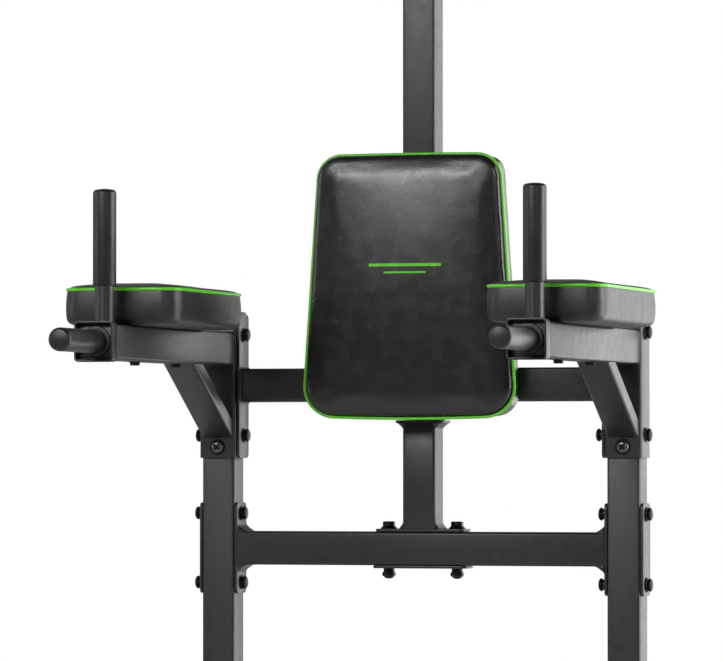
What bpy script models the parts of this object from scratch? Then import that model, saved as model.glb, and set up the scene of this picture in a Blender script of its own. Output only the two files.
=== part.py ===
"""Power tower: a free-standing gym frame with a back pad, two dip arms with forearm pads, a pull-up bar
and push-up handles on its base.

Metres, +Z up.  The machine faces -Y, and its left and right are those of a person who looks at it from the
front.  The origin lies on the floor, under the middle of the machine's box.
"""
import math

import bmesh
import bpy
from mathutils import Matrix, Vector

X, Y, Z = 0, 1, 2
SIDES = {"left": -1, "right": 1}

# Clearances
GAP = 0.0003                # between two pieces that touch
OVERRUN = 0.004             # how far a cutter passes through a wall
HOLE_PLAY = 0.0004          # hole radius less shank radius

# Stock
TUBE = 0.050                # square tube of the frame
TUBE_WALL = 0.002
TUBE_CORNER = 0.005
SLEEVE = 0.057              # larger tube that slips over the frame tube
SLEEVE_WALL = 0.003
SLEEVE_CORNER = 0.006
SLEEVE_LENGTH = 0.2155
PLATE = 0.004               # flat bar for end plates
PLATE_LENGTH = 0.136
PLATE_CORNER = 0.008
PLATE_BOLT = 0.052          # from the middle of an end plate to its bolt
DRAIN_RADIUS = 0.008        # drain hole in a plate that closes a tube
HALF = TUBE / 2
HALF_SLEEVE = SLEEVE / 2

# Where the frame stands
UPRIGHT_X = 0.3115          # half the distance between the uprights' middles
DIP_REACH = 0.751           # from the uprights' plane to the tip of the dip grips
REAR_REACH = 0.4300         # from the uprights' plane to the back of the rear feet
UPRIGHT_Y = (DIP_REACH - REAR_REACH) / 2

# Base
FOOT_SOLE = 0.012
RAIL_TOP = FOOT_SOLE + TUBE
RAIL_FRONT = 0.700          # from the uprights' plane forward
RAIL_REAR = -0.375
STABILISER_LENGTH = 0.900
SHOE_SIDE = 0.0047
SHOE_LENGTH = 0.060
BASE_BRACE_TOP = 0.430
BASE_BRACE_REAR = -0.310
BASE_BRACE_WIDTH = 0.040
PUSH_UP_LEGS = (0.455, 0.620)
PUSH_UP_RISE = 0.120
PUSH_UP_BEND = 0.035
PUSH_UP_RADIUS = 0.0125

# Crossbeams and masts
BEAM_Z = 0.8725             # middle of the lower crossbeam
MAST_FOOT_BOLT = 0.0525
HEAD_PLATE_TOP = 1.063
HEAD_PLATE_WIDTH = 0.075
CROSSBAR_Z = 1.1158         # middle of the upper crossbar
SOCKET_TOP = 1.2515

# Dip arms
ARM_Z = 1.170               # middle of the arm tube
SLEEVE_BOTTOM = 1.007
SLEEVE_TOP = SLEEVE_BOTTOM + SLEEVE_LENGTH
ARM_TUBE_FRONT = 0.587
COLLAR_FRONT = 0.604
ARM_BOLT_Z = {"lower": 1.041, "upper": 1.192}
ARM_SCREW_Z = 1.0235
BRACE_WIDTH = 0.048
BRACE_WALL = 0.002
BRACE_FOOT = 0.030          # above the sleeve's lower edge
BRACE_RISE = 0.028          # height of the brace's cut end on the sleeve
BRACE_FRONT = 0.221         # where its lower and upper sides meet the arm
BRACE_BACK = 0.1666
POST_FORWARD = 0.555
POST_RADIUS = 0.0135
POST_GRIP_BOTTOM = 1.249
POST_GRIP_TOP = 1.3855
DIP_TUBE_RADIUS = 0.0130
GRIP_RADIUS = 0.0165

# Forearm pads
ARM_PAD_REAR = 0.165
ARM_PAD_FRONT = 0.510
ARM_PAD_WIDTH = 0.170
ARM_PAD_HEIGHT = 0.0620
ARM_PAD_CORNER = 0.025
ARM_PAD_CROWN = 0.012
ARM_PAD_BOLTS = {"rear": 0.230, "front": 0.420}
BOARD = 0.009               # plywood under a pad's foam
BOARD_INSET = 0.008

# Back pad
BACK_PAD_BOTTOM = 1.065
BACK_PAD_TOP = 1.4575
BACK_PAD_BOTTOM_WIDTH = 0.328
BACK_PAD_TOP_WIDTH = 0.277
BACK_PAD_BOTTOM_CORNER = 0.043
BACK_PAD_TOP_CORNER = 0.033
BACK_PAD_REAR = 0.042       # forward of the uprights' plane
BACK_PAD_DEPTH = 0.057
BACK_PAD_CROWN = 0.020
BRACKET_WIDTH = 0.200
BRACKET_HEIGHT = 0.040
BRACKET_WALL = 0.003
BRACKET_Z = {"lower": 1.200, "upper": 1.385}

# Pull-up bar
PULL_SLEEVE_BOTTOM = 1.935
PULL_SLEEVE_TOP = PULL_SLEEVE_BOTTOM + SLEEVE_LENGTH
PULL_ARM_Z = 2.098
PULL_ARM_FRONT = 0.330
PULL_BAR_RADIUS = 0.016
PULL_BAR_WALL = 0.002
PULL_BAR_STRAIGHT = 0.330   # half the level stretch
PULL_BAR_HALF_WIDTH = 0.550
PULL_BAR_DROP = 0.100
PULL_BAR_BEND = 0.120
PULL_GRIP_LENGTH = 0.150
PULL_GRIP_WALL = 0.0035

# Fasteners
BOLT_RADIUS = 0.005
BOLT_CAP_RADIUS = 0.0105
BOLT_CAP_HEIGHT = 0.009
NUT_CAP_HEIGHT = 0.0135
SCREW_RADIUS = 0.004
ROUND_STEPS = 16
BOLT_STEPS = 10

FINISHES = {                # colour, roughness, metallic
    "powder_coat": ((0.045, 0.044, 0.042), 0.42, 0.35),
    "black_zinc": ((0.015, 0.015, 0.016), 0.45, 0.60),
    "vinyl": ((0.010, 0.010, 0.010), 0.38, 0.00),
    "rubber": ((0.035, 0.034, 0.032), 0.75, 0.00),
    "plastic": ((0.018, 0.018, 0.018), 0.50, 0.00),
    "plywood": ((0.024, 0.018, 0.013), 0.60, 0.00),
}


# ---------------------------------------------------------------- scene and objects

def clear_scene():
    for item in list(bpy.data.objects):
        bpy.data.objects.remove(item, do_unlink=True)


def collection(name):
    made = bpy.data.collections.new(name)
    bpy.context.scene.collection.children.link(made)
    return made


def finish(item, kind):
    """Give a sub-part a Principled BSDF of its own."""
    colour, roughness, metallic = FINISHES[kind]
    material = bpy.data.materials.new(f"{item.name}_{kind}")
    material.use_nodes = True
    shader = material.node_tree.nodes["Principled BSDF"]
    shader.inputs["Base Color"].default_value = (*colour, 1.0)
    shader.inputs["Roughness"].default_value = roughness
    shader.inputs["Metallic"].default_value = metallic
    item.data.materials.clear()
    item.data.materials.append(material)
    return item


def add(name, mesh, at=(0.0, 0.0, 0.0)):
    """Link a mesh as a sub-part, under the tower's empty."""
    item = bpy.data.objects.new(name, mesh)
    item.location = at
    item.parent = TOWER
    PARTS.objects.link(item)
    return item


def to_cutters(item):
    """Move a helper solid out of the parts, to where the build leaves it out."""
    PARTS.objects.unlink(item)
    CUTTERS.objects.link(item)
    item.hide_render = True
    item.display_type = "WIRE"


def boolean(target, operation, others):
    for other in others:
        to_cutters(other)
        step = target.modifiers.new(operation.lower(), "BOOLEAN")
        step.operation = operation
        step.solver = "EXACT"
        step.object = other
    return target


def join(target, *others):
    return boolean(target, "UNION", others)


def cut(target, *others):
    return boolean(target, "DIFFERENCE", others)


def mesh_from(bm, name):
    bmesh.ops.recalc_face_normals(bm, faces=bm.faces)
    mesh = bpy.data.meshes.new(name)
    bm.to_mesh(mesh)
    bm.free()
    return mesh


def smooth(item, degrees=40):
    item.data.shade_smooth()
    item.data.set_sharp_from_angle(angle=math.radians(degrees))
    return item


# ---------------------------------------------------------------- basic solids

def at(x, forward, z):
    """A place from its distance forward of the uprights' plane."""
    return Vector((x, UPRIGHT_Y - forward, z))


def block(name, corner_a, corner_b, axis=None, radius=0.0, steps=2):
    """A box between two corners, with its edges along one axis rounded."""
    low = Vector(min(a, b) for a, b in zip(corner_a, corner_b))
    high = Vector(max(a, b) for a, b in zip(corner_a, corner_b))
    bm = bmesh.new()
    bmesh.ops.create_cube(bm, size=1.0, matrix=Matrix.Diagonal((*(high - low), 1.0)))
    if radius:
        edges = [e for e in bm.edges if abs((e.verts[0].co - e.verts[1].co)[axis]) > GAP]
        bmesh.ops.bevel(bm, geom=edges, offset=radius, segments=steps, profile=0.5, affect="EDGES")
    return add(name, mesh_from(bm, name), (low + high) / 2)


def grown(corner_a, corner_b, axis, side, ends):
    """Corners of a box grown by `side` across an axis and by `ends` along it."""
    low = [min(a, b) for a, b in zip(corner_a, corner_b)]
    high = [max(a, b) for a, b in zip(corner_a, corner_b)]
    for i in (X, Y, Z):
        by = ends if i == axis else side
        low[i] -= by
        high[i] += by
    return Vector(low), Vector(high)


def square_tube(name, corner_a, corner_b, axis, wall=TUBE_WALL, radius=TUBE_CORNER):
    """A square tube, open at both ends."""
    tube = block(name, corner_a, corner_b, axis, radius)
    bore = block(name + "_bore", *grown(corner_a, corner_b, axis, -wall, OVERRUN), axis, radius - wall)
    return cut(tube, bore)


def turn_to(direction):
    """The rotation that points a piece's own +Z along a direction."""
    return Vector((0.0, 0.0, 1.0)).rotation_difference(Vector(direction)).to_euler()


def cylinder(name, end_a, end_b, radius, steps=ROUND_STEPS):
    """A round bar between two points."""
    along = Vector(end_b) - Vector(end_a)
    bm = bmesh.new()
    bmesh.ops.create_cone(bm, cap_ends=True, segments=steps, radius1=radius, radius2=radius, depth=along.length)
    item = add(name, mesh_from(bm, name), (Vector(end_a) + Vector(end_b)) / 2)
    item.rotation_euler = turn_to(along)
    return smooth(item)


def hole(name, place, axis, reach, radius):
    """A cutter for a round hole through `place`, `reach` long each way."""
    half = Vector((0.0, 0.0, 0.0))
    half[axis] = reach
    return cylinder(name + "_hole", Vector(place) - half, Vector(place) + half, radius, BOLT_STEPS)


def turned(name, profile, place, direction, steps=ROUND_STEPS):
    """A turned solid: the profile of (radius, height) runs from the top of the axis down to its foot."""
    mesh = bpy.data.meshes.new(name)
    points = [(radius, 0.0, height) for radius, height in profile]
    mesh.from_pydata(points, [(i, i + 1) for i in range(len(points) - 1)], [])
    item = add(name, mesh, place)
    item.rotation_euler = turn_to(direction)
    screw = item.modifiers.new("turn", "SCREW")
    screw.steps = steps
    screw.render_steps = steps
    screw.use_merge_vertices = True
    screw.merge_threshold = 0.00001
    screw.use_smooth_shade = True
    return item


def filleted(points, radius, steps=5):
    """A path through the points, with each corner replaced by an arc."""
    path = [Vector(points[0])]
    for before, corner, after in zip(points, points[1:], points[2:]):
        corner = Vector(corner)
        back = (Vector(before) - corner).normalized()
        ahead = (Vector(after) - corner).normalized()
        half_turn = (math.pi - back.angle(ahead)) / 2
        start = corner + back * radius * math.tan(half_turn)
        inward = (back + ahead).normalized()
        centre = corner + inward * radius / math.cos(half_turn)
        axis = back.cross(ahead)
        for i in range(steps + 1):
            turn = Matrix.Rotation(-2 * half_turn * i / steps, 3, axis)
            path.append(centre + turn @ (start - centre))
    path.append(Vector(points[-1]))
    return path


def rod(name, points, radius):
    """A round bar along a path: a bevelled curve, made a closed mesh."""
    data = bpy.data.curves.new(name, "CURVE")
    data.dimensions = "3D"
    spline = data.splines.new("POLY")
    spline.points.add(len(points) - 1)
    for point, place in zip(spline.points, points):
        point.co = (*place, 1.0)
    data.bevel_depth = radius
    data.bevel_resolution = 2
    data.use_fill_caps = True
    line = add(name + "_line", data)
    bpy.context.view_layer.update()
    evaluated = line.evaluated_get(bpy.context.evaluated_depsgraph_get())
    bm = bmesh.new()
    bm.from_mesh(bpy.data.meshes.new_from_object(evaluated))
    bmesh.ops.remove_doubles(bm, verts=bm.verts, dist=0.00001)
    item = add(name, mesh_from(bm, name))
    item.matrix_world = line.matrix_world
    bpy.data.objects.remove(line)
    return smooth(item)


def bent_tube(name, points, radius, wall):
    """A round tube along a path, open at both ends."""
    start = Vector(points[0]) + (Vector(points[0]) - Vector(points[1])).normalized() * OVERRUN
    end = Vector(points[-1]) + (Vector(points[-1]) - Vector(points[-2])).normalized() * OVERRUN
    bore = rod(name + "_bore", [start, *points[1:-1], end], radius - wall)
    return cut(rod(name, points, radius), bore)


def rounded_outline(corners, radii, steps=4):
    """A flat outline through its corners, each replaced by an arc of its own radius."""
    outline = []
    count = len(corners)
    for i, radius in enumerate(radii):
        near = [Vector((*corners[(i + k) % count], 0.0)) for k in (-1, 0, 1)]
        outline.extend(filleted(near, radius, steps)[1:-1])
    return [(point.x, point.y) for point in outline]


def slab(name, outline, thickness, place, rotation=(0.0, 0.0, 0.0), crown=0.0):
    """A flat outline raised along its own +Z, with a rounded upper rim of radius `crown`."""
    bm = bmesh.new()
    face = bm.faces.new([bm.verts.new((u, v, 0.0)) for u, v in outline])
    raised = bmesh.ops.extrude_face_region(bm, geom=[face])["geom"]
    top = [item for item in raised if isinstance(item, bmesh.types.BMVert)]
    bmesh.ops.translate(bm, verts=top, vec=(0.0, 0.0, thickness))
    if crown:
        rim = [e for e in bm.edges if all(v.co.z > thickness / 2 for v in e.verts)]
        bmesh.ops.bevel(bm, geom=rim, offset=crown, segments=3, profile=0.5, affect="EDGES")
    item = add(name, mesh_from(bm, name), place)
    item.rotation_euler = rotation
    return smooth(item)


# ---------------------------------------------------------------- base

def base_rail(side):
    """A floor tube under an upright, with an end plate at its rear."""
    x = SIDES[side] * UPRIGHT_X
    front = at(x - HALF, RAIL_FRONT, FOOT_SOLE)
    rear = at(x + HALF, RAIL_REAR + PLATE / 2, RAIL_TOP)
    rail = square_tube(f"base_rail_{side}", front, rear, Y)
    half_plate = PLATE_LENGTH / 2
    plate = block(f"base_rail_{side}_plate", at(x - half_plate, RAIL_REAR + PLATE, FOOT_SOLE + PLATE / 4),
                  at(x + half_plate, RAIL_REAR, RAIL_TOP - PLATE / 4), Y, PLATE_CORNER)
    finish(join(rail, plate), "powder_coat")


def rear_stabiliser():
    half = STABILISER_LENGTH / 2
    front = RAIL_REAR - GAP
    tube = square_tube("rear_stabiliser", at(-half, front, FOOT_SOLE), at(half, front - TUBE, RAIL_TOP), X)
    finish(tube, "powder_coat")


def shoe(name, tube_end, inward):
    """A rubber shoe over a tube's end; `inward` is the direction from the end along the tube."""
    axis = X if inward.x else Y
    outer = [SHOE_SIDE + HALF] * 3
    outer[Z] = HALF + FOOT_SOLE
    mouth = Vector(tube_end) + inward * SHOE_LENGTH
    closed = Vector(tube_end) - inward * SHOE_SIDE
    across = Vector(outer)
    across[axis] = 0.0
    low_z, high_z = 0.0, RAIL_TOP + SHOE_SIDE
    body_a, body_b = closed - across, mouth + across
    body_a.z, body_b.z = low_z, high_z
    body = block(name, body_a, body_b, axis, 2 * SHOE_SIDE)
    room = Vector((HALF + GAP,) * 3)
    room[axis] = 0.0
    pocket = block(name + "_pocket", Vector(tube_end) - inward * GAP - room,
                   mouth + inward * OVERRUN + room, axis, TUBE_CORNER)
    finish(cut(body, pocket), "rubber")


def feet():
    middle = FOOT_SOLE + HALF
    for side, sign in SIDES.items():
        shoe(f"front_foot_{side}", at(sign * UPRIGHT_X, RAIL_FRONT, middle), Vector((0.0, 1.0, 0.0)))
        end = at(sign * STABILISER_LENGTH / 2, RAIL_REAR - GAP - HALF, middle)
        shoe(f"rear_foot_{side}", end, Vector((-sign, 0.0, 0.0)))


def mitred_brace(name, x, width, wall, lower_line, upper_line, reach):
    """A rectangular tube between a vertical face and a level face, mitred to both.

    Each line is its (forward, z) start and end.  The bore runs `reach` past both faces.
    """
    def raised(label, half_width, lower, upper):
        corners = [(-point[0], point[1]) for point in (*lower, *reversed(upper))]
        turn = (math.pi / 2, 0.0, math.pi / 2)
        return slab(label, corners, 2 * half_width, (x - half_width, UPRIGHT_Y, 0.0), turn)

    def inner(line, shift):
        start, end = Vector(line[0]), Vector(line[1])
        along = (end - start).normalized()
        normal = Vector((-along.y, along.x)) * shift
        return start + normal - along * reach, end + normal + along * reach

    rising = Vector(lower_line[1]).x > Vector(lower_line[0]).x
    sign = 1 if rising else -1
    tube = raised(name, width / 2, lower_line, upper_line)
    bore = raised(name + "_bore", width / 2 - wall, inner(lower_line, sign * wall), inner(upper_line, -sign * wall))
    return tube, bore


def base_brace(side):
    """A strut from the rear of an upright down to its rail."""
    x = SIDES[side] * UPRIGHT_X
    face = -HALF - GAP
    foot = RAIL_TOP + GAP
    slope = (BASE_BRACE_TOP - foot) / (BASE_BRACE_REAR - face)
    drop = BASE_BRACE_WIDTH * math.sqrt(1 + slope * slope)
    lower = ((face, BASE_BRACE_TOP - drop), (BASE_BRACE_REAR - drop / slope, foot))
    upper = ((face, BASE_BRACE_TOP), (BASE_BRACE_REAR, foot))
    tube, bore = mitred_brace(f"base_brace_{side}", x, BASE_BRACE_WIDTH, TUBE_WALL, lower, upper, TUBE)
    finish(cut(tube, bore), "powder_coat")


def push_up_handle(side):
    """An inverted U of round tube on the rail, with a rubber grip along its level stretch."""
    x = SIDES[side] * UPRIGHT_X
    foot = RAIL_TOP + GAP
    level = RAIL_TOP + PUSH_UP_RISE
    near, far = PUSH_UP_LEGS
    corners = [at(x, near, foot), at(x, near, level), at(x, far, level), at(x, far, foot)]
    handle = bent_tube(f"push_up_handle_{side}", filleted(corners, PUSH_UP_BEND), PUSH_UP_RADIUS, TUBE_WALL)
    finish(handle, "powder_coat")
    ends = [at(x, near + PUSH_UP_BEND + GAP, level), at(x, far - PUSH_UP_BEND - GAP, level)]
    grip = cylinder(f"push_up_grip_{side}", *ends, GRIP_RADIUS)
    ahead = (ends[1] - ends[0]).normalized() * OVERRUN
    bore = cylinder(f"push_up_grip_{side}_bore", ends[0] - ahead, ends[1] + ahead, PUSH_UP_RADIUS + GAP)
    finish(cut(grip, bore), "rubber")


# ---------------------------------------------------------------- uprights, beams and masts

def upright(side):
    """A square tube on a welded foot plate, drilled for the beam, the arm and the arm's screw."""
    x = SIDES[side] * UPRIGHT_X
    name = f"upright_{side}"
    foot = RAIL_TOP + GAP
    tube = square_tube(name, at(x - HALF, HALF, foot + PLATE / 2), at(x + HALF, -HALF, SLEEVE_TOP - PLATE), Z)
    half_plate = PLATE_LENGTH / 2
    join(tube, block(name + "_plate", at(x - HALF + PLATE / 4, half_plate, foot),
                     at(x + HALF - PLATE / 4, -half_plate, foot + PLATE), Z, PLATE_CORNER))
    radius = BOLT_RADIUS + HOLE_PLAY
    heights = [BEAM_Z - PLATE_BOLT, BEAM_Z + PLATE_BOLT, *ARM_BOLT_Z.values()]
    cut(tube, *[hole(f"{name}_{i}", at(x, 0.0, z), X, TUBE, radius) for i, z in enumerate(heights)])
    cut(tube, hole(name + "_screw", at(x, HALF, ARM_SCREW_Z), Y, OVERRUN, SCREW_RADIUS + HOLE_PLAY))
    finish(tube, "powder_coat")


def end_plate(name, x_inner, middle_z, length, bolts_z, sign):
    """A drilled plate against an upright or a sleeve, from x_inner outwards."""
    plate = block(name, at(x_inner, HALF - PLATE / 4, middle_z - length / 2),
                  at(x_inner + sign * PLATE, -HALF + PLATE / 4, middle_z + length / 2), X, PLATE_CORNER)
    radius = BOLT_RADIUS + HOLE_PLAY
    return cut(plate, *[hole(f"{name}_{i}", at(x_inner, 0.0, z), X, TUBE / 2, radius)
                        for i, z in enumerate(bolts_z)])


def lower_crossbeam():
    """The beam between the uprights, with a drilled plate at each end."""
    end = UPRIGHT_X - HALF - GAP
    beam = block("lower_crossbeam", at(-end + PLATE / 2, HALF, BEAM_Z - HALF),
                 at(end - PLATE / 2, -HALF, BEAM_Z + HALF), X, TUBE_CORNER)
    bolts = (BEAM_Z - PLATE_BOLT, BEAM_Z + PLATE_BOLT)
    for side, sign in SIDES.items():
        join(beam, end_plate(f"lower_crossbeam_{side}", sign * (end - PLATE), BEAM_Z, PLATE_LENGTH, bolts, sign))
    inner = end - PLATE - OVERRUN
    bore = block("lower_crossbeam_bore", at(-inner, HALF - TUBE_WALL, BEAM_Z - HALF + TUBE_WALL),
                 at(inner, TUBE_WALL - HALF, BEAM_Z + HALF - TUBE_WALL), X, TUBE_CORNER - TUBE_WALL)
    cut(beam, bore, hole("lower_crossbeam_drain", at(0.0, 0.0, BEAM_Z), X, UPRIGHT_X, DRAIN_RADIUS))
    cut(beam, *[hole(f"lower_crossbeam_mast_{side}", at(sign * MAST_FOOT_BOLT, 0.0, BEAM_Z), Z, TUBE,
                     BOLT_RADIUS + HOLE_PLAY) for side, sign in SIDES.items()])
    finish(beam, "powder_coat")


def beam_backing_plate(side):
    """The plate on an upright's outer face that the beam's bolts pull against."""
    sign = SIDES[side]
    bolts = (BEAM_Z - PLATE_BOLT, BEAM_Z + PLATE_BOLT)
    finish(end_plate(f"beam_backing_plate_{side}", sign * (UPRIGHT_X + HALF + GAP), BEAM_Z, PLATE_LENGTH,
                     bolts, sign), "powder_coat")


def level_plate(name, length, z):
    """A level plate across the lower beam, from z up, drilled for the mast's foot bolts."""
    plate = block(name, at(-length / 2, HALF - PLATE / 4, z), at(length / 2, -HALF + PLATE / 4, z + PLATE),
                  Z, PLATE_CORNER)
    return cut(plate, *[hole(f"{name}_{side}", at(sign * MAST_FOOT_BOLT, 0.0, z), Z, 2 * PLATE,
                             BOLT_RADIUS + HOLE_PLAY) for side, sign in SIDES.items()])


def lower_mast():
    """The short mast between the lower beam and the socket, with a foot plate and a head plate."""
    foot = BEAM_Z + HALF + GAP
    mast = block("lower_mast", at(-HALF, HALF, foot + PLATE / 2), at(HALF, -HALF, HEAD_PLATE_TOP - PLATE / 2),
                 Z, TUBE_CORNER)
    half_head = HEAD_PLATE_WIDTH / 2
    head = block("lower_mast_head", at(-half_head, HALF - PLATE / 4, HEAD_PLATE_TOP - PLATE),
                 at(half_head, -HALF + PLATE / 4, HEAD_PLATE_TOP), Z, PLATE_CORNER)
    join(mast, level_plate("lower_mast_foot", PLATE_LENGTH, foot), head)
    inset = HALF - TUBE_WALL
    bore = block("lower_mast_bore", at(-inset, inset, foot + PLATE + GAP),
                 at(inset, -inset, HEAD_PLATE_TOP - PLATE - GAP), Z, TUBE_CORNER - TUBE_WALL)
    cut(mast, bore, hole("lower_mast_drain", at(0.0, 0.0, foot), Z, HEAD_PLATE_TOP, DRAIN_RADIUS))
    finish(mast, "powder_coat")


def mast_backing_plate():
    finish(level_plate("mast_backing_plate", PLATE_LENGTH + PLATE_CORNER, BEAM_Z - HALF - GAP - PLATE),
           "powder_coat")


def upper_crossbar():
    """The bar behind the back pad: long end plates on the arm sleeves and a socket for the upper mast."""
    end = UPRIGHT_X - HALF_SLEEVE - GAP
    bar = block("upper_crossbar", at(-end + PLATE / 2, HALF, CROSSBAR_Z - HALF),
                at(end - PLATE / 2, -HALF, CROSSBAR_Z + HALF), X, TUBE_CORNER)
    middle = (SLEEVE_BOTTOM + SLEEVE_TOP) / 2
    for side, sign in SIDES.items():
        join(bar, end_plate(f"upper_crossbar_{side}", sign * (end - PLATE), middle, SLEEVE_LENGTH,
                            ARM_BOLT_Z.values(), sign))
    inner = end - PLATE - OVERRUN
    inset = HALF - TUBE_WALL
    bore = block("upper_crossbar_bore", at(-inner, inset, CROSSBAR_Z - inset), at(inner, -inset, CROSSBAR_Z + inset),
                 X, TUBE_CORNER - TUBE_WALL)
    cut(bar, bore, hole("upper_crossbar_drain", at(0.0, 0.0, CROSSBAR_Z), X, UPRIGHT_X, DRAIN_RADIUS))
    foot = HEAD_PLATE_TOP + GAP
    half = HALF_SLEEVE
    join(bar, block("upper_crossbar_socket", at(-half, half, foot), at(half, -half, SOCKET_TOP), Z, SLEEVE_CORNER))
    room = half - SLEEVE_WALL
    cut(bar, block("upper_crossbar_socket_bore", at(-room, room, foot - OVERRUN),
                   at(room, -room, SOCKET_TOP + OVERRUN), Z, SLEEVE_CORNER - SLEEVE_WALL))
    finish(bar, "powder_coat")


def upper_mast():
    finish(square_tube("upper_mast", at(-HALF, HALF, HEAD_PLATE_TOP + GAP),
                       at(HALF, -HALF, PULL_SLEEVE_TOP - PLATE - GAP), Z), "powder_coat")


# ---------------------------------------------------------------- sleeved arms

def sleeved_arm(name, x, sleeve_bottom, sleeve_top, arm_z, arm_front, brace_low_z):
    """A sleeve with an arm tube in front of it and a diagonal brace below, and the solids that hollow it."""
    half, room, inset = HALF_SLEEVE, HALF_SLEEVE - SLEEVE_WALL, HALF - TUBE_WALL
    frame = block(name, at(x - half, half, sleeve_bottom), at(x + half, -half, sleeve_top), Z, SLEEVE_CORNER)
    arm = block(name + "_arm", at(x - HALF, half - SLEEVE_WALL / 2, arm_z - HALF),
                at(x + HALF, arm_front, arm_z + HALF), Y, TUBE_CORNER)
    start = half - SLEEVE_WALL / 2
    under = arm_z - HALF + TUBE_WALL / 2
    lower = ((start, brace_low_z), (BRACE_FRONT, under))
    upper = ((start, brace_low_z + BRACE_RISE), (BRACE_BACK, under))
    brace, brace_bore = mitred_brace(name + "_brace", x, BRACE_WIDTH, BRACE_WALL, lower, upper, 0.0)
    join(frame, arm, brace)
    arm_bore = block(name + "_arm_bore", at(x - inset, half + GAP, arm_z - inset),
                     at(x + inset, arm_front + OVERRUN, arm_z + inset), Y, TUBE_CORNER - TUBE_WALL)
    return frame, room, arm_bore, brace_bore


def arm_frame(side):
    """Dip arm: sleeve, arm tube, brace, front collar and the upright handle tube, welded together."""
    x = SIDES[side] * UPRIGHT_X
    name = f"arm_frame_{side}"
    frame, room, arm_bore, brace_bore = sleeved_arm(name, x, SLEEVE_BOTTOM, SLEEVE_TOP, ARM_Z,
                                                    ARM_TUBE_FRONT, SLEEVE_BOTTOM + BRACE_FOOT)
    half = HALF_SLEEVE
    collar = block(name + "_collar", at(x - half, ARM_TUBE_FRONT - PLATE, ARM_Z - half),
                   at(x + half, COLLAR_FRONT, ARM_Z + half), Y, SLEEVE_CORNER)
    post_top = POST_GRIP_TOP - PLATE
    post = cylinder(name + "_post", at(x, POST_FORWARD, ARM_Z + HALF - TUBE_WALL / 2),
                    at(x, POST_FORWARD, post_top), POST_RADIUS)
    join(frame, collar, post)
    sleeve_bore = block(name + "_bore", at(x - room, room, SLEEVE_BOTTOM - OVERRUN),
                        at(x + room, -room, SLEEVE_TOP + OVERRUN), Z, SLEEVE_CORNER - SLEEVE_WALL)
    collar_bore = block(name + "_collar_bore", at(x - room, ARM_TUBE_FRONT, ARM_Z - room),
                        at(x + room, COLLAR_FRONT + OVERRUN, ARM_Z + room), Y, SLEEVE_CORNER - SLEEVE_WALL)
    post_bore = cylinder(name + "_post_bore", at(x, POST_FORWARD, ARM_Z), at(x, POST_FORWARD, post_top + OVERRUN),
                         POST_RADIUS - TUBE_WALL)
    cut(frame, sleeve_bore, arm_bore, collar_bore, brace_bore, post_bore)
    radius = BOLT_RADIUS + HOLE_PLAY
    cut(frame, *[hole(f"{name}_{label}", at(x, 0.0, z), X, TUBE, radius) for label, z in ARM_BOLT_Z.items()])
    cut(frame, hole(name + "_screw", at(x, half, ARM_SCREW_Z), Y, 2 * OVERRUN, SCREW_RADIUS + HOLE_PLAY))
    cut(frame, *[hole(f"{name}_pad_{label}", at(x, forward, ARM_Z), Z, TUBE, SCREW_RADIUS + HOLE_PLAY)
                 for label, forward in ARM_PAD_BOLTS.items()])
    finish(frame, "powder_coat")


def arm_plug(side):
    """The plug that closes the top of an arm's sleeve."""
    x = SIDES[side] * UPRIGHT_X
    half, room = HALF_SLEEVE, HALF_SLEEVE - SLEEVE_WALL - GAP
    top = SLEEVE_TOP + GAP
    plug = block(f"arm_plug_{side}", at(x - half, half, top), at(x + half, -half, top + PLATE), Z, SLEEVE_CORNER)
    stem = block(f"arm_plug_{side}_stem", at(x - room, room, SLEEVE_TOP - PLATE + 2 * GAP),
                 at(x + room, -room, top + PLATE / 2), Z, SLEEVE_CORNER - SLEEVE_WALL)
    finish(join(plug, stem), "plastic")


def pull_up_frame():
    """The sleeved arm at the top of the mast, with a plate for the pull-up bar."""
    name = "pull_up_frame"
    frame, room, arm_bore, brace_bore = sleeved_arm(name, 0.0, PULL_SLEEVE_BOTTOM, PULL_SLEEVE_TOP, PULL_ARM_Z,
                                                    PULL_ARM_FRONT - PLATE / 2,
                                                    PULL_ARM_Z + BRACE_FOOT - ARM_Z + SLEEVE_BOTTOM)
    half_plate = PLATE_LENGTH / 2
    plate = block(name + "_plate", at(-half_plate, PULL_ARM_FRONT - PLATE, PULL_ARM_Z - HALF + PLATE / 4),
                  at(half_plate, PULL_ARM_FRONT, PULL_ARM_Z + HALF - PLATE / 4), Y, PLATE_CORNER)
    join(frame, plate)
    sleeve_bore = block(name + "_bore", at(-room, room, PULL_SLEEVE_BOTTOM - OVERRUN),
                        at(room, -room, PULL_SLEEVE_TOP - PLATE), Z, SLEEVE_CORNER - SLEEVE_WALL)
    cut(frame, sleeve_bore, arm_bore, brace_bore)
    finish(frame, "powder_coat")


def pull_up_path(at_forward, ends=0.0):
    """The bar's middle line: level in the middle, with both ends angled down."""
    tip = Vector((PULL_BAR_HALF_WIDTH - PULL_BAR_STRAIGHT, -PULL_BAR_DROP))
    tip += tip.normalized() * ends
    half = [(PULL_BAR_STRAIGHT, 0.0), (PULL_BAR_STRAIGHT + tip.x, tip.y)]
    corners = [(-u, v) for u, v in reversed(half)] + half
    return filleted([at(u, at_forward, PULL_ARM_Z + v) for u, v in corners], PULL_BAR_BEND, 4)


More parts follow.
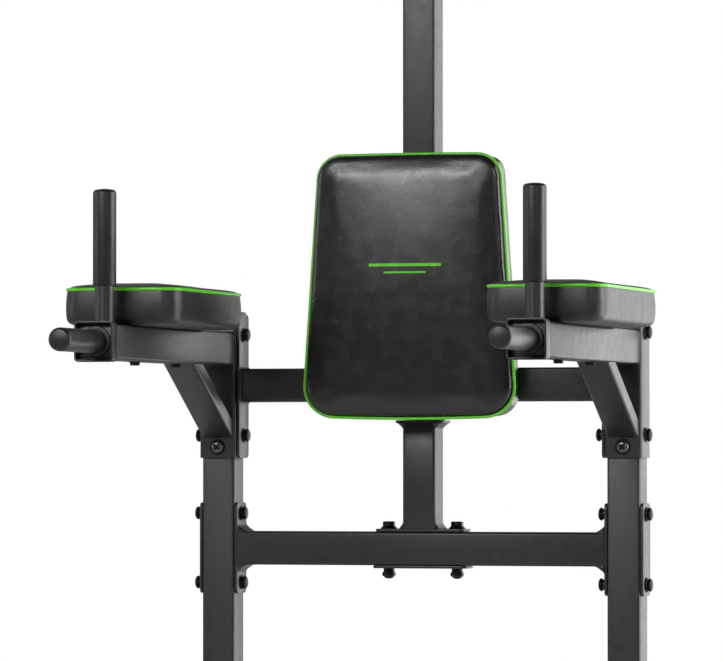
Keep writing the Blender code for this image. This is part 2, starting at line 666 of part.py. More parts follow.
def pull_up_bar():
    """The bent bar, on a saddle and a plate that meets the arm's plate."""
    back = PULL_ARM_FRONT + GAP
    forward = back + PLATE + GAP + PULL_BAR_RADIUS
    bar = rod("pull_up_bar", pull_up_path(forward), PULL_BAR_RADIUS)
    half_plate = PLATE_LENGTH / 2
    height = HALF - PLATE / 4
    plate = block("pull_up_bar_plate", at(-half_plate, back, PULL_ARM_Z - height),
                  at(half_plate, back + PLATE, PULL_ARM_Z + height), Y, PLATE_CORNER)
    saddle = block("pull_up_bar_saddle", at(-HALF, back + PLATE / 2, PULL_ARM_Z - PULL_BAR_RADIUS / 2),
                   at(HALF, forward, PULL_ARM_Z + PULL_BAR_RADIUS / 2))
    join(bar, plate, saddle)
    cut(bar, rod("pull_up_bar_bore", pull_up_path(forward, OVERRUN), PULL_BAR_RADIUS - PULL_BAR_WALL))
    finish(bar, "powder_coat")
    return forward


def pull_up_grip(side, forward):
    """A rubber sleeve on an angled end of the pull-up bar, closed at the tip."""
    line = pull_up_path(forward)
    tip, before = (line[-1], line[-2]) if side == "right" else (line[0], line[1])
    outward = (tip - before).normalized()
    radius = PULL_BAR_RADIUS + GAP
    outer = PULL_BAR_RADIUS + PULL_GRIP_WALL
    end = GAP + PULL_GRIP_WALL
    profile = [(0.0, end), (outer - PULL_GRIP_WALL, end), (outer, 0.0), (outer, -PULL_GRIP_LENGTH),
               (radius, -PULL_GRIP_LENGTH), (radius, GAP), (0.0, GAP)]
    finish(turned(f"pull_up_grip_{side}", profile, tip, outward), "rubber")


# ---------------------------------------------------------------- handles and grips

def dome(radius, height, steps=4):
    """Points of a quarter ellipse, from its top on the axis to its rim."""
    turns = [math.pi / 2 * i / steps for i in range(steps + 1)]
    return [(radius * math.sin(t), height * math.cos(t)) for t in turns]


def grip_profile(length, bore, outer=GRIP_RADIUS, dome_height=0.008, end_wall=0.004):
    """A grip closed by a dome: from the dome's top, down the outside and up the bore."""
    top = [(r, length - dome_height + h) for r, h in dome(outer, dome_height)]
    depth = length - end_wall
    return [*top, (outer, 0.0), (bore, 0.0), (bore, depth), (0.0, depth)]


def dip_handle(side):
    """The level handle: a square plate in the collar, a ring and a round tube."""
    x = SIDES[side] * UPRIGHT_X
    name = f"dip_handle_{side}"
    back = ARM_TUBE_FRONT + GAP
    inset = HALF_SLEEVE - SLEEVE_WALL - GAP
    plate = block(name, at(x - inset, back, ARM_Z - inset), at(x + inset, back + PLATE, ARM_Z + inset), Y,
                  SLEEVE_CORNER - SLEEVE_WALL)
    ring = cylinder(name + "_ring", at(x, back + PLATE / 2, ARM_Z), at(x, back + 2 * PLATE, ARM_Z), 0.022)
    tip = DIP_REACH - PLATE - GAP
    tube = cylinder(name + "_tube", at(x, back + PLATE / 2, ARM_Z), at(x, tip, ARM_Z), DIP_TUBE_RADIUS)
    bore = cylinder(name + "_bore", at(x, back - OVERRUN, ARM_Z), at(x, tip + OVERRUN, ARM_Z),
                    DIP_TUBE_RADIUS - TUBE_WALL)
    finish(cut(join(plate, ring, tube), bore), "powder_coat")


def dip_grip(side):
    x = SIDES[side] * UPRIGHT_X
    start = ARM_TUBE_FRONT + 2 * GAP + 2 * PLATE
    length = DIP_REACH - start
    profile = grip_profile(length, DIP_TUBE_RADIUS + GAP)
    finish(turned(f"dip_grip_{side}", profile, at(x, start, ARM_Z), (0.0, -1.0, 0.0)), "rubber")


def post_grip(side):
    x = SIDES[side] * UPRIGHT_X
    length = POST_GRIP_TOP - POST_GRIP_BOTTOM
    profile = grip_profile(length, POST_RADIUS + GAP)
    finish(turned(f"post_grip_{side}", profile, at(x, POST_FORWARD, POST_GRIP_BOTTOM), (0.0, 0.0, 1.0)), "rubber")


# ---------------------------------------------------------------- pads

def arm_pad_outline(inset=0.0):
    half_width = ARM_PAD_WIDTH / 2 - inset
    half_length = (ARM_PAD_FRONT - ARM_PAD_REAR) / 2 - inset
    corners = [(-half_width, -half_length), (half_width, -half_length), (half_width, half_length),
               (-half_width, half_length)]
    return rounded_outline(corners, [ARM_PAD_CORNER - inset] * 4)


def arm_pad(side):
    """A forearm pad, recessed from below for its plywood board."""
    x = SIDES[side] * UPRIGHT_X
    foot = ARM_Z + HALF + GAP
    place = at(x, (ARM_PAD_REAR + ARM_PAD_FRONT) / 2, foot)
    pad = slab(f"arm_pad_{side}", arm_pad_outline(), ARM_PAD_HEIGHT, place, crown=ARM_PAD_CROWN)
    pocket = slab(f"arm_pad_{side}_pocket", arm_pad_outline(BOARD_INSET - GAP), OVERRUN + BOARD + GAP,
                  place - Vector((0.0, 0.0, OVERRUN)))
    finish(cut(pad, pocket), "vinyl")
    name = f"arm_pad_board_{side}"
    board = slab(name, arm_pad_outline(BOARD_INSET), BOARD, place)
    cut(board, *[hole(f"{name}_{label}", at(x, forward, foot), Z, TUBE, SCREW_RADIUS + HOLE_PLAY)
                 for label, forward in ARM_PAD_BOLTS.items()])
    finish(board, "plywood")


def back_pad_outline(inset=0.0):
    half_height = (BACK_PAD_TOP - BACK_PAD_BOTTOM) / 2 - inset
    bottom, top = BACK_PAD_BOTTOM_WIDTH / 2 - inset, BACK_PAD_TOP_WIDTH / 2 - inset
    corners = [(-bottom, -half_height), (bottom, -half_height), (top, half_height), (-top, half_height)]
    low, high = BACK_PAD_BOTTOM_CORNER - inset, BACK_PAD_TOP_CORNER - inset
    return rounded_outline(corners, [low, low, high, high])


def back_pad():
    """The back pad, wider at its foot, recessed from behind for its plywood board."""
    facing_front = (math.pi / 2, 0.0, 0.0)
    place = at(0.0, BACK_PAD_REAR, (BACK_PAD_BOTTOM + BACK_PAD_TOP) / 2)
    pad = slab("back_pad", back_pad_outline(), BACK_PAD_DEPTH, place, facing_front, BACK_PAD_CROWN)
    pocket = slab("back_pad_pocket", back_pad_outline(BOARD_INSET - GAP), OVERRUN + BOARD + GAP,
                  place + Vector((0.0, OVERRUN, 0.0)), facing_front)
    finish(cut(pad, pocket), "vinyl")
    finish(slab("back_pad_board", back_pad_outline(BOARD_INSET), BOARD, place, facing_front), "plywood")


def pad_bracket(level):
    """A folded channel between the mast or its socket and the back pad's board."""
    name = f"pad_bracket_{level}"
    rear = (HALF_SLEEVE if level == "lower" else HALF) + GAP
    front = BACK_PAD_REAR - GAP
    z = BRACKET_Z[level]
    half_width, half_height = BRACKET_WIDTH / 2, BRACKET_HEIGHT / 2
    channel = block(name, at(-half_width, rear, z - half_height), at(half_width, front, z + half_height),
                    X, BRACKET_WALL / 2)
    fold = block(name + "_fold", at(-half_width - OVERRUN, rear - OVERRUN, z - half_height + BRACKET_WALL),
                 at(half_width + OVERRUN, front - BRACKET_WALL, z + half_height - BRACKET_WALL))
    finish(cut(channel, fold), "powder_coat")


# ---------------------------------------------------------------- fasteners

def capped_bolt(name, middle, grip):
    """A bolt along X with a capped head on its right and a longer capped nut on its left; `grip` is the
    distance between them."""
    half = grip / 2 + GAP
    head = [(r, half + h) for r, h in dome(BOLT_CAP_RADIUS, BOLT_CAP_HEIGHT, 3)]
    nut = [(r, -half - h) for r, h in dome(BOLT_CAP_RADIUS, NUT_CAP_HEIGHT, 3)]
    profile = [*head, (BOLT_RADIUS, half), (BOLT_RADIUS, -half), *reversed(nut)]
    finish(turned(name, profile, middle, (1.0, 0.0, 0.0), BOLT_STEPS), "black_zinc")


def frame_bolts():
    for side, sign in SIDES.items():
        reach = HALF + PLATE + GAP
        for level, offset in (("lower", -PLATE_BOLT), ("upper", PLATE_BOLT)):
            capped_bolt(f"beam_bolt_{side}_{level}", at(sign * UPRIGHT_X, 0.0, BEAM_Z + offset), 2 * reach)
        inner = UPRIGHT_X - HALF_SLEEVE - GAP - PLATE
        outer = UPRIGHT_X + HALF_SLEEVE
        for level, z in ARM_BOLT_Z.items():
            middle = at(sign * (inner + outer) / 2, 0.0, z)
            capped_bolt(f"arm_bolt_{side}_{level}", middle, outer - inner)


def mast_foot_bolts():
    """Flanged hex bolts down through the mast's foot, the beam and the backing plate, in domed nuts."""
    top = HALF + 2 * GAP + PLATE
    bottom = -HALF - 2 * GAP - PLATE
    for side, sign in SIDES.items():
        profile = [(0.0, top + 0.011), (0.009, top + 0.011), (0.009, top + 0.004), (0.011, top + 0.002),
                   (0.011, top), (BOLT_RADIUS, top), (BOLT_RADIUS, bottom), (0.008, bottom),
                   (0.008, bottom - 0.006), (0.0097, bottom - 0.007), (0.0097, bottom - 0.011),
                   (0.0, bottom - 0.015)]
        finish(turned(f"mast_foot_bolt_{side}", profile, at(sign * MAST_FOOT_BOLT, 0.0, BEAM_Z),
                      (0.0, 0.0, 1.0), BOLT_STEPS), "black_zinc")


def arm_screws():
    """Round-headed screws through the front of each sleeve into its upright."""
    for side, sign in SIDES.items():
        head = [(r, GAP + h) for r, h in dome(0.0115, 0.006, 3)]
        profile = [*head, (SCREW_RADIUS, GAP), (SCREW_RADIUS, -0.014), (0.0, -0.014)]
        finish(turned(f"arm_screw_{side}", profile, at(sign * UPRIGHT_X, HALF_SLEEVE, ARM_SCREW_Z),
                      (0.0, -1.0, 0.0), BOLT_STEPS), "black_zinc")


def arm_pad_bolts():
    """Bolts up through each arm into the forearm pad's board."""
    under = ARM_Z - HALF - GAP
    length = TUBE + BOARD
    for side, sign in SIDES.items():
        for label, forward in ARM_PAD_BOLTS.items():
            profile = [(0.0, 0.0055), (0.0065, 0.0055), (0.0075, 0.004), (0.0075, 0.0),
                       (SCREW_RADIUS, 0.0), (SCREW_RADIUS, -length), (0.0, -length)]
            finish(turned(f"arm_pad_bolt_{side}_{label}", profile, at(sign * UPRIGHT_X, forward, under),
                          (0.0, 0.0, -1.0), BOLT_STEPS), "black_zinc")


# ---------------------------------------------------------------- assembly

def build_side(side):
    base_rail(side)
    base_brace(side)
    push_up_handle(side)
    upright(side)
    beam_backing_plate(side)
    arm_frame(side)
    arm_plug(side)
    dip_handle(side)
    dip_grip(side)
    post_grip(side)
    arm_pad(side)


def build_tower():
    rear_stabiliser()
    feet()
    for side in SIDES:
        build_side(side)
    lower_crossbeam()
    lower_mast()
    mast_backing_plate()
    upper_crossbar()
    upper_mast()
    pull_up_frame()
    bar_forward = pull_up_bar()
    for side in SIDES:
        pull_up_grip(side, bar_forward)
    back_pad()
    for level in BRACKET_Z:
        pad_bracket(level)
    frame_bolts()
    mast_foot_bolts()
    arm_screws()
    arm_pad_bolts()


clear_scene()
PARTS = collection("power_tower")
CUTTERS = collection("power_tower_cutters")
TOWER = bpy.data.objects.new("power_tower", None)
PARTS.objects.link(TOWER)
build_tower()
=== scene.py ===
"""Looks of the power tower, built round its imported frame."""
import math

import bpy
import numpy as np
from bpy.props import FloatProperty, IntProperty, PointerProperty, StringProperty
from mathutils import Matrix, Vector


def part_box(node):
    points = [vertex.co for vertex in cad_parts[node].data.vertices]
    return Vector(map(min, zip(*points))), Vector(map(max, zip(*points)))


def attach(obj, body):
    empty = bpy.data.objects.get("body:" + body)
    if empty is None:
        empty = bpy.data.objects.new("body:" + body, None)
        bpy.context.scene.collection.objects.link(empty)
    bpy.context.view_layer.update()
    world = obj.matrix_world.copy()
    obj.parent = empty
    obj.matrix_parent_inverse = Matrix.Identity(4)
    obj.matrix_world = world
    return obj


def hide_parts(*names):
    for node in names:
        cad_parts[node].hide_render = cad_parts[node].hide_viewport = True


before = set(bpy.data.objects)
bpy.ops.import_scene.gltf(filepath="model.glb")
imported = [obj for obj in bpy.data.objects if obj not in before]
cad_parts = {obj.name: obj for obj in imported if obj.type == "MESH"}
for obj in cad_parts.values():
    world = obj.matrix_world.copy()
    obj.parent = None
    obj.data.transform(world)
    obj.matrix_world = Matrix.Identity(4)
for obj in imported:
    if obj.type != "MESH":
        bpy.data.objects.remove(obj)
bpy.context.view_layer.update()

bl_info = {
    "name": "Power tower",
    "version": (1, 0, 0),
    "blender": (4, 5, 0),
    "location": "3D View > Sidebar > Power tower",
    "description": "Tubes, welds, pads, grips and fasteners of a gym power tower",
    "category": "Mesh",
}

SIDES = {"left": -1.0, "right": 1.0}
RIGHT = np.array((1.0, 0.0, 0.0))
BACK = np.array((0.0, 1.0, 0.0))
UP = np.array((0.0, 0.0, 1.0))
GAP = 0.0003
SLEEVE_WALL = 0.003
PLATE_THICK = 0.004


def middle(node):
    """Middle of a node's box."""
    low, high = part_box(node)
    return np.array((low + high) / 2)


def low(node):
    """Lowest corner of a node's box."""
    return np.array(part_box(node)[0])


def high(node):
    """Highest corner of a node's box."""
    return np.array(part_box(node)[1])


# Places and sizes of the frame, in metres.
UPRIGHT_X = middle("upright_right")[0]
FRAME_Y = middle("upper_mast")[1]
TUBE = high("upper_mast")[0] - low("upper_mast")[0]
SLEEVE = high("arm_plug_left")[0] - low("arm_plug_left")[0]
PLATE_LONG = high("beam_backing_plate_left")[2] - low("beam_backing_plate_left")[2]
PLATE_WIDE = TUBE - 0.002
BEAM_Z = middle("lower_crossbeam")[2]
ARM_Z = middle("dip_handle_left")[2]
CROSSBAR_Z = 1.1158
SLEEVE_LOW = low("arm_frame_left")[2]
SLEEVE_TOP = SLEEVE_LOW + 0.2155
SLEEVE_CORNER = 0.006
POST_Y = middle("post_grip_left")[1]
BRACE_WIDTH = 0.048
BRACE_RISE = 0.028
STRUT_WIDTH = 0.040
CAP_REACH = 0.009
NUT_REACH = 0.0135
BOLT_HALF_PITCH = 0.052

# Glows of the studio's walls: direction, cosines where the glow starts and is full, and strength.
GLOWS = (
    ((-0.28, -0.94, 0.18), 0.78, 0.97, 0.16),
    ((-0.90, 0.36, 0.25), 0.20, 0.85, 0.45),
)
AMBIENT_LIGHT = 0.035
FLOOR_GLOW = 0.40
# Soft boxes: name, place, width, height, power in watts, and whether they glow on both faces.
SOFT_BOXES = (
    ("key_softbox", (3.2, -4.6, 3.0), 1.4, 1.4, 34.0, False),
    ("front_softbox", (-1.1, -3.9, 2.90), 2.2, 0.9, 98.0, False),
    ("left_strip", (-3.0, -1.3, 1.5), 0.3, 1.8, 12.0, False),
    ("back_screen", (2.1, 1.6, 1.35), 5.0, 3.0, 112.0, True),
    ("right_strip", (3.0, 0.3, 1.5), 0.8, 2.6, 55.0, False),
)


# ---------------------------------------------------------------- settings

class TowerSizes(bpy.types.PropertyGroup):
    """Small dimensions that dress the frame."""
    tube_corner: FloatProperty(name="Tube corner", description="Outside corner radius of the square tubes",
                               default=0.0045, min=0.001, max=0.010, subtype="DISTANCE", unit="LENGTH")
    plate_corner: FloatProperty(name="Plate corner", description="Corner radius of the flat end plates",
                                default=0.008, min=0.001, max=0.020, subtype="DISTANCE", unit="LENGTH")
    edge: FloatProperty(name="Edge", description="Softening of cut edges under the paint",
                        default=0.0006, min=0.0001, max=0.0015, subtype="DISTANCE", unit="LENGTH")
    weld_leg: FloatProperty(name="Weld leg", description="Leg of the fillet welds",
                            default=0.0075, min=0.002, max=0.012, subtype="DISTANCE", unit="LENGTH")
    piping: FloatProperty(name="Piping", description="Diameter of the piping round the pads",
                          default=0.0050, min=0.002, max=0.010, subtype="DISTANCE", unit="LENGTH")
    voxel: FloatProperty(name="Voxel", description="Cell of the remesh before the pads are inflated",
                         default=0.0048, min=0.003, max=0.010, subtype="DISTANCE", unit="LENGTH")
    around: IntProperty(name="Around", description="Points round a round bar", default=48, min=12, max=96)


class TowerColours(bpy.types.PropertyGroup):
    """Colours of the tower's materials, as sRGB hex values."""
    powder: StringProperty(name="Powder coat", description="Anthracite of the frame", default="#1B1A17")
    vinyl: StringProperty(name="Vinyl", description="Black of the pads' covers", default="#121212")
    piping: StringProperty(name="Piping", description="Green of the pads' piping", default="#5ABF1C")
    rubber: StringProperty(name="Rubber", description="Grey-black of grips and feet", default="#10100F")
    fastener: StringProperty(name="Fasteners", description="Black zinc of bolts and nuts", default="#0E0E0E")
    plastic: StringProperty(name="Plastic", description="Black of the moulded plugs", default="#1C1C1C")
    plywood: StringProperty(name="Plywood", description="Black stain of the pads' boards", default="#2A241E")
    floor: StringProperty(name="Floor", description="Pale studio floor", default="#EFEFEE")


# ---------------------------------------------------------------- surfaces

def rounded_loop(width, height, radius, steps=6, between=1):
    """Outline of a rounded rectangle, and its outward normals: four quarter circles of the radius, whose
    centres lie in from the corners by it, with straight runs between them."""
    turn = np.linspace(0.0, np.pi / 2, steps + 1)
    points, normals = [], []
    for quarter in range(4):
        angle = turn + quarter * np.pi / 2
        normal = np.stack((np.cos(angle), np.sin(angle)), 1)
        corner = np.sign(np.array((math.cos(np.pi / 4 + quarter * np.pi / 2),
                                   math.sin(np.pi / 4 + quarter * np.pi / 2))))
        centre = corner * (np.array((width, height)) / 2 - radius)
        points.append(centre + radius * normal)
        normals.append(normal)
    loop, facing = np.concatenate(points), np.concatenate(normals)
    if between > 1:
        share = np.arange(between) / between
        after = np.roll(loop, -1, 0)
        run = np.linalg.norm(after - loop, axis=1) > radius
        mixed = loop[:, None] * (1 - share[None, :, None]) + after[:, None] * share[None, :, None]
        kept = np.ones((len(loop), between), bool)
        kept[~run, 1:] = False
        loop, facing = mixed[kept], np.repeat(facing[:, None], between, 1)[kept]
    return loop, facing


def circle_loop(radius, steps):
    """Outline of a circle, and its outward normals."""
    angle = 2 * np.pi * np.arange(steps) / steps
    normal = np.stack((np.cos(angle), np.sin(angle)), 1)
    return radius * normal, normal


def hexagon_loop(flats, steps=36):
    """Outline of a hexagon of a given width across its flats: the distance from the middle is the half width
    over the cosine of the angle from the nearest flat's middle, with the corners eased by a cap."""
    angle = 2 * np.pi * np.arange(steps) / steps
    off_flat = (angle + np.pi / 6) % (np.pi / 3) - np.pi / 6
    reach = np.minimum(flats / 2 / np.cos(off_flat), flats / 2 * 1.12)
    normal = np.stack((np.cos(angle), np.sin(angle)), 1)
    return reach[:, None] * normal, normal


def skin(outline, heights, insets):
    """Rings of an outline: each ring is the outline moved in along its normals by an inset, at a height."""
    loop, normal = outline
    heights, insets = np.asarray(heights, float), np.asarray(insets, float)
    heights = heights if heights.ndim == 2 else np.repeat(heights[:, None], len(loop), 1)
    insets = insets if insets.ndim == 2 else np.repeat(insets[:, None], len(loop), 1)
    flat = loop[None] - normal[None] * insets[:, :, None]
    return np.concatenate((flat, heights[:, :, None]), 2)


def lay(rings, origin, along, across):
    """Places local rings: their height runs along one direction, and their first coordinate across it."""
    along, across = np.asarray(along, float), np.asarray(across, float)
    third = np.cross(along, across)
    return (np.asarray(origin) + rings[..., 0:1] * across + rings[..., 1:2] * third + rings[..., 2:3] * along)


def tube_stations(length, edge, wall=0.0, open_start=False, open_end=False, depth=0.03):
    """Heights and insets of a tube's rings: a softened edge at each end, and a bore where an end is open."""
    eased = [(0.0, edge), (0.3 * edge, 0.3 * edge), (edge, 0.0)]
    bored = [(depth, wall), (edge, wall), (0.3 * edge, wall - 0.3 * edge), (0.0, wall - edge)]
    start = (bored + eased) if open_start else eased
    end = (bored + eased) if open_end else eased
    stations = start + [(length - t, inset) for t, inset in reversed(end)]
    return np.array(stations).T


def bar(width, height, corner, origin, along, across, length, edge, **ends):
    """A straight rounded-rectangle tube from an origin."""
    return lay(skin(rounded_loop(width, height, corner), *tube_stations(length, edge, **ends)),
               origin, along, across)


def plate(width, height, thickness, origin, along, across, sizes):
    """A flat plate with rounded corners, from an origin on one face."""
    return bar(width, height, sizes.plate_corner, origin, along, across, thickness, sizes.edge)


def weld(width, height, corner, origin, along, across, leg, rise, thin=None):
    """A fillet weld round a tube that stands on a plate.  Its section is a blend of a straight chamfer and a
    hollow quarter circle stretched to the two legs, with ripples a bead's pitch apart.  On the pair of faces
    named by thin it is ground down, in proportion to how squarely the outline faces that way."""
    outline = rounded_loop(width, height, corner, 5, 14)
    loop, normal = outline
    turn = np.linspace(0.0, np.pi / 2, 9)[:, None]
    step = np.linalg.norm(np.roll(loop, -1, 0) - loop, axis=1)
    run = np.concatenate(([0.0], np.cumsum(step)[:-1]))
    beads = 0.04 * np.sin(2 * np.pi * run / 0.0045)[None]
    ripple = 1.0 + beads + 0.06 * np.sin(2 * np.pi * run / 0.021 + leg)
    lean = np.ones_like(run) if thin is None else 1 - 0.97 * normal[:, thin] ** 2
    out = leg * (0.015 + 0.985 * (0.35 * (1 - np.sin(turn)) + 0.65 * np.cos(turn) ** 2)) * ripple * lean
    up = rise * (0.02 + 0.98 * (0.35 * (1 - np.cos(turn)) + 0.65 * np.sin(turn) ** 2)) * lean
    buried = np.full((1, len(loop)), 0.001)
    insets = np.concatenate((buried, -out, buried))
    heights = np.concatenate((up[:1] * 0 - 0.0008, up, up[-1:]))
    return lay(skin(outline, heights, insets), origin, along, across)


def turned(profile, origin, along, steps=48, outline=None):
    """A turned shape: a circle, or another outline, at each height of a profile of (height, radius)."""
    across = RIGHT if abs(np.dot(along, RIGHT)) < 0.9 else BACK
    profile = np.asarray(profile, float)
    widest = profile[:, 1].max()
    loop = circle_loop(widest, steps) if outline is None else outline
    return lay(skin(loop, profile[:, 0], widest - profile[:, 1]), origin, along, across)


def quarter(radius, height, start, steps=8, lip=0.0):
    """Profile of a dome that ends at its top: a quarter ellipse above a starting height."""
    turn = np.linspace(0.0, np.pi / 2 * 0.985, steps + 1)
    return np.stack((start + height * np.sin(turn), lip + (radius - lip) * np.cos(turn)), 1)


def shoulder(radius, top, corner=0.0055, crown=0.0012):
    """Profile of a grip's end: a quarter circle at its shoulder, and a shallow crown across it."""
    turn = np.linspace(0.0, np.pi / 2 * 0.96, 9)
    arc = np.stack((top - crown - corner * (1 - np.sin(turn)), radius - corner * (1 - np.cos(turn))), 1)
    share = np.linspace(1.0, 0.06, 6)[1:]
    flat = np.stack((top - crown * share ** 2, (radius - corner) * share), 1)
    return np.concatenate((arc, flat))


def swept(outline, path, facing, insets=None, closed=False):
    """An outline carried along a flat path: the first coordinate lies in the path's plane, square to the
    path, and the second along the plane's normal."""
    loop, normal = outline
    path = np.asarray(path, float)
    ahead = np.roll(path, -1, 0) - np.roll(path, 1, 0)
    if not closed:
        ahead[0], ahead[-1] = path[1] - path[0], path[-1] - path[-2]
    ahead /= np.linalg.norm(ahead, axis=1)[:, None]
    side = np.cross(ahead, facing)
    inset = np.zeros(len(path)) if insets is None else np.asarray(insets)
    flat = loop[None] - normal[None] * inset[:, None, None]
    return path[:, None] + flat[..., 0:1] * side[:, None] + flat[..., 1:2] * np.asarray(facing)


def bent_path(corners, radius, step=0.004):
    """A path through corners, each replaced by an arc that is tangent to both of its runs."""
    corners = [np.asarray(corner, float) for corner in corners]
    pieces = [corners[0][None]]
    for before, corner, after in zip(corners, corners[1:], corners[2:]):
        back = (before - corner) / np.linalg.norm(before - corner)
        ahead = (after - corner) / np.linalg.norm(after - corner)
        half = (np.pi - math.acos(float(np.clip(back @ ahead, -1, 1)))) / 2
        start = corner + back * radius * math.tan(half)
        inward = (back + ahead) / np.linalg.norm(back + ahead)
        centre = corner + inward * radius / math.cos(half)
        count = max(6, int(2 * half * radius / step))
        angle = np.linspace(0.0, 2 * half, count + 1)[:, None]
        spoke = (start - centre) / radius
        pieces.append(centre + radius * (spoke * np.cos(angle) - back * np.sin(angle)))
    pieces.append(corners[-1][None])
    return np.concatenate(pieces)


def grid_faces(rings, around, closed):
    """Quads between neighbouring rings of a grid whose rings are closed, and whose first and last ring are
    joined where it is closed too."""
    row = np.arange(rings if closed else rings - 1)[:, None] * around
    column = np.arange(around)[None]
    after = (column + 1) % around
    next_row = (row + around) % (rings * around)
    return np.stack((row + column, row + after, next_row + after, next_row + column), 2).reshape(-1, 4)


def volume_sign(points, faces):
    """Sign of a closed surface's volume: the sum of the tetrahedra from its middle to each half quad."""
    corner = points[faces] - points.mean(0)
    first = np.einsum("ij,ij->i", corner[:, 0], np.cross(corner[:, 1], corner[:, 2]))
    second = np.einsum("ij,ij->i", corner[:, 0], np.cross(corner[:, 2], corner[:, 3]))
    return float((first + second).sum())


def closed_surface(grid, closed=False):
    """Vertices and outward faces of a grid, with its end rings filled."""
    rings, around = grid.shape[:2]
    points = grid.reshape(-1, 3)
    quads = grid_faces(rings, around, closed)
    inside_out = volume_sign(points, quads) < 0
    caps = [] if closed else [list(range(around))[::-1], list(range((rings - 1) * around, rings * around))]
    faces = [list(face) for face in quads.tolist()] + caps
    if inside_out:
        faces = [face[::-1] for face in faces]
    return points, faces


def piece(name, grids, material, replaces=(), loops=(), sharp=38.0):
    """One visible piece from grids with filled ends, and from loops that close on themselves."""
    points, faces, count = [], [], 0
    for grid, closed in [(g, False) for g in grids] + [(g, True) for g in loops]:
        part, part_faces = closed_surface(np.asarray(grid), closed)
        points.append(part)
        faces.extend([[index + count for index in face] for face in part_faces])
        count += len(part)
    mesh = bpy.data.meshes.new(name)
    mesh.from_pydata(np.concatenate(points), [], faces)
    mesh.materials.append(material)
    mesh.shade_smooth()
    mesh.set_sharp_from_angle(angle=math.radians(sharp))
    item = bpy.data.objects.new(name, mesh)
    bpy.context.scene.collection.objects.link(item)
    return adopt(item, replaces)


def adopt(item, replaces=()):
    """Parents a piece to the root's empty, and hides the nodes it replaces."""
    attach(item, "root")
    if replaces:
        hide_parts(*replaces)
    return item


# ---------------------------------------------------------------- materials

def linear(hex_colour):
    """sRGB hex to linear colour: a straight part near black and a 2.4 power above it."""
    value = np.array([int(hex_colour[i:i + 2], 16) for i in (1, 3, 5)]) / 255
    flat = np.where(value <= 0.04045, value / 12.92, ((value + 0.055) / 1.055) ** 2.4)
    return (*flat.tolist(), 1.0)


def node(tree, kind, values=None, **settings):
    """Adds a node: settings are its own, and values fill its sockets with numbers or links."""
    made = tree.nodes.new(kind)
    for key, value in settings.items():
        setattr(made, key, value)
    for key, value in (values or {}).items():
        if isinstance(value, bpy.types.NodeSocket):
            tree.links.new(value, made.inputs[key])
        else:
            made.inputs[key].default_value = value
    return made


def shade(hex_colour, factor):
    """A colour made lighter or darker by a factor."""
    return (*[min(1.0, channel * factor) for channel in linear(hex_colour)[:3]], 1.0)


def base_material(name):
    """A new material with its tree and Object coordinates, or the one made before and no tree."""
    material = bpy.data.materials.get(name)
    if material:
        return material, None, None
    material = bpy.data.materials.new(name)
    material.use_nodes = True
    tree = material.node_tree
    where = node(tree, "ShaderNodeTexCoord").outputs["Object"]
    return material, tree, where


def noise(tree, where, scale, detail=2.0, roughness=0.5, stretch=None):
    """A noise texture's value."""
    if stretch:
        where = node(tree, "ShaderNodeMapping", {"Vector": where, "Scale": stretch}).outputs["Vector"]
    return node(tree, "ShaderNodeTexNoise", {"Vector": where, "Scale": scale, "Detail": detail,
                                             "Roughness": roughness}).outputs["Fac"]


def ranged(tree, value, low_out, high_out, low_in=0.3, high_in=0.7):
    """A value carried from one range to another."""
    return node(tree, "ShaderNodeMapRange", {"Value": value, "From Min": low_in, "From Max": high_in,
                                             "To Min": low_out, "To Max": high_out}).outputs["Result"]


def mixed(tree, share, first, second):
    """A blend of two colours by a share."""
    made = node(tree, "ShaderNodeMix", data_type="RGBA")
    for socket, value in ((0, share), (6, first), (7, second)):
        if isinstance(value, bpy.types.NodeSocket):
            tree.links.new(value, made.inputs[socket])
        else:
            made.inputs[socket].default_value = value
    return made.outputs[2]


def bumped(tree, height, distance, strength=1.0, under=None):
    """A normal bent by a height, on top of another one."""
    values = {"Height": height, "Distance": distance, "Strength": strength}
    if under is not None:
        values["Normal"] = under
    return node(tree, "ShaderNodeBump", values).outputs["Normal"]


def powder_coat(colours):
    """Polyester powder coat on steel: satin, with the fine orange peel that the powder leaves as it flows.
    The peel is 2 mm across, drawn a little coarser than life so that it shows."""
    material, tree, where = base_material("powder_coat_anthracite")
    if tree:
        peel = noise(tree, where, 1 / 0.0022, 1.0)
        cloud = noise(tree, where, 1 / 0.18, 3.0)
        colour = mixed(tree, ranged(tree, cloud, 0.0, 1.0), shade(colours.powder, 0.92),
                       shade(colours.powder, 1.10))
        gloss = ranged(tree, noise(tree, where, 1 / 0.011, 2.0), 0.36, 0.44)
        shader = tree.nodes["Principled BSDF"]
        shader.inputs["IOR"].default_value = 1.52
        tree.links.new(colour, shader.inputs["Base Color"])
        tree.links.new(gloss, shader.inputs["Roughness"])
        tree.links.new(bumped(tree, peel, 0.00006), shader.inputs["Normal"])
    return material


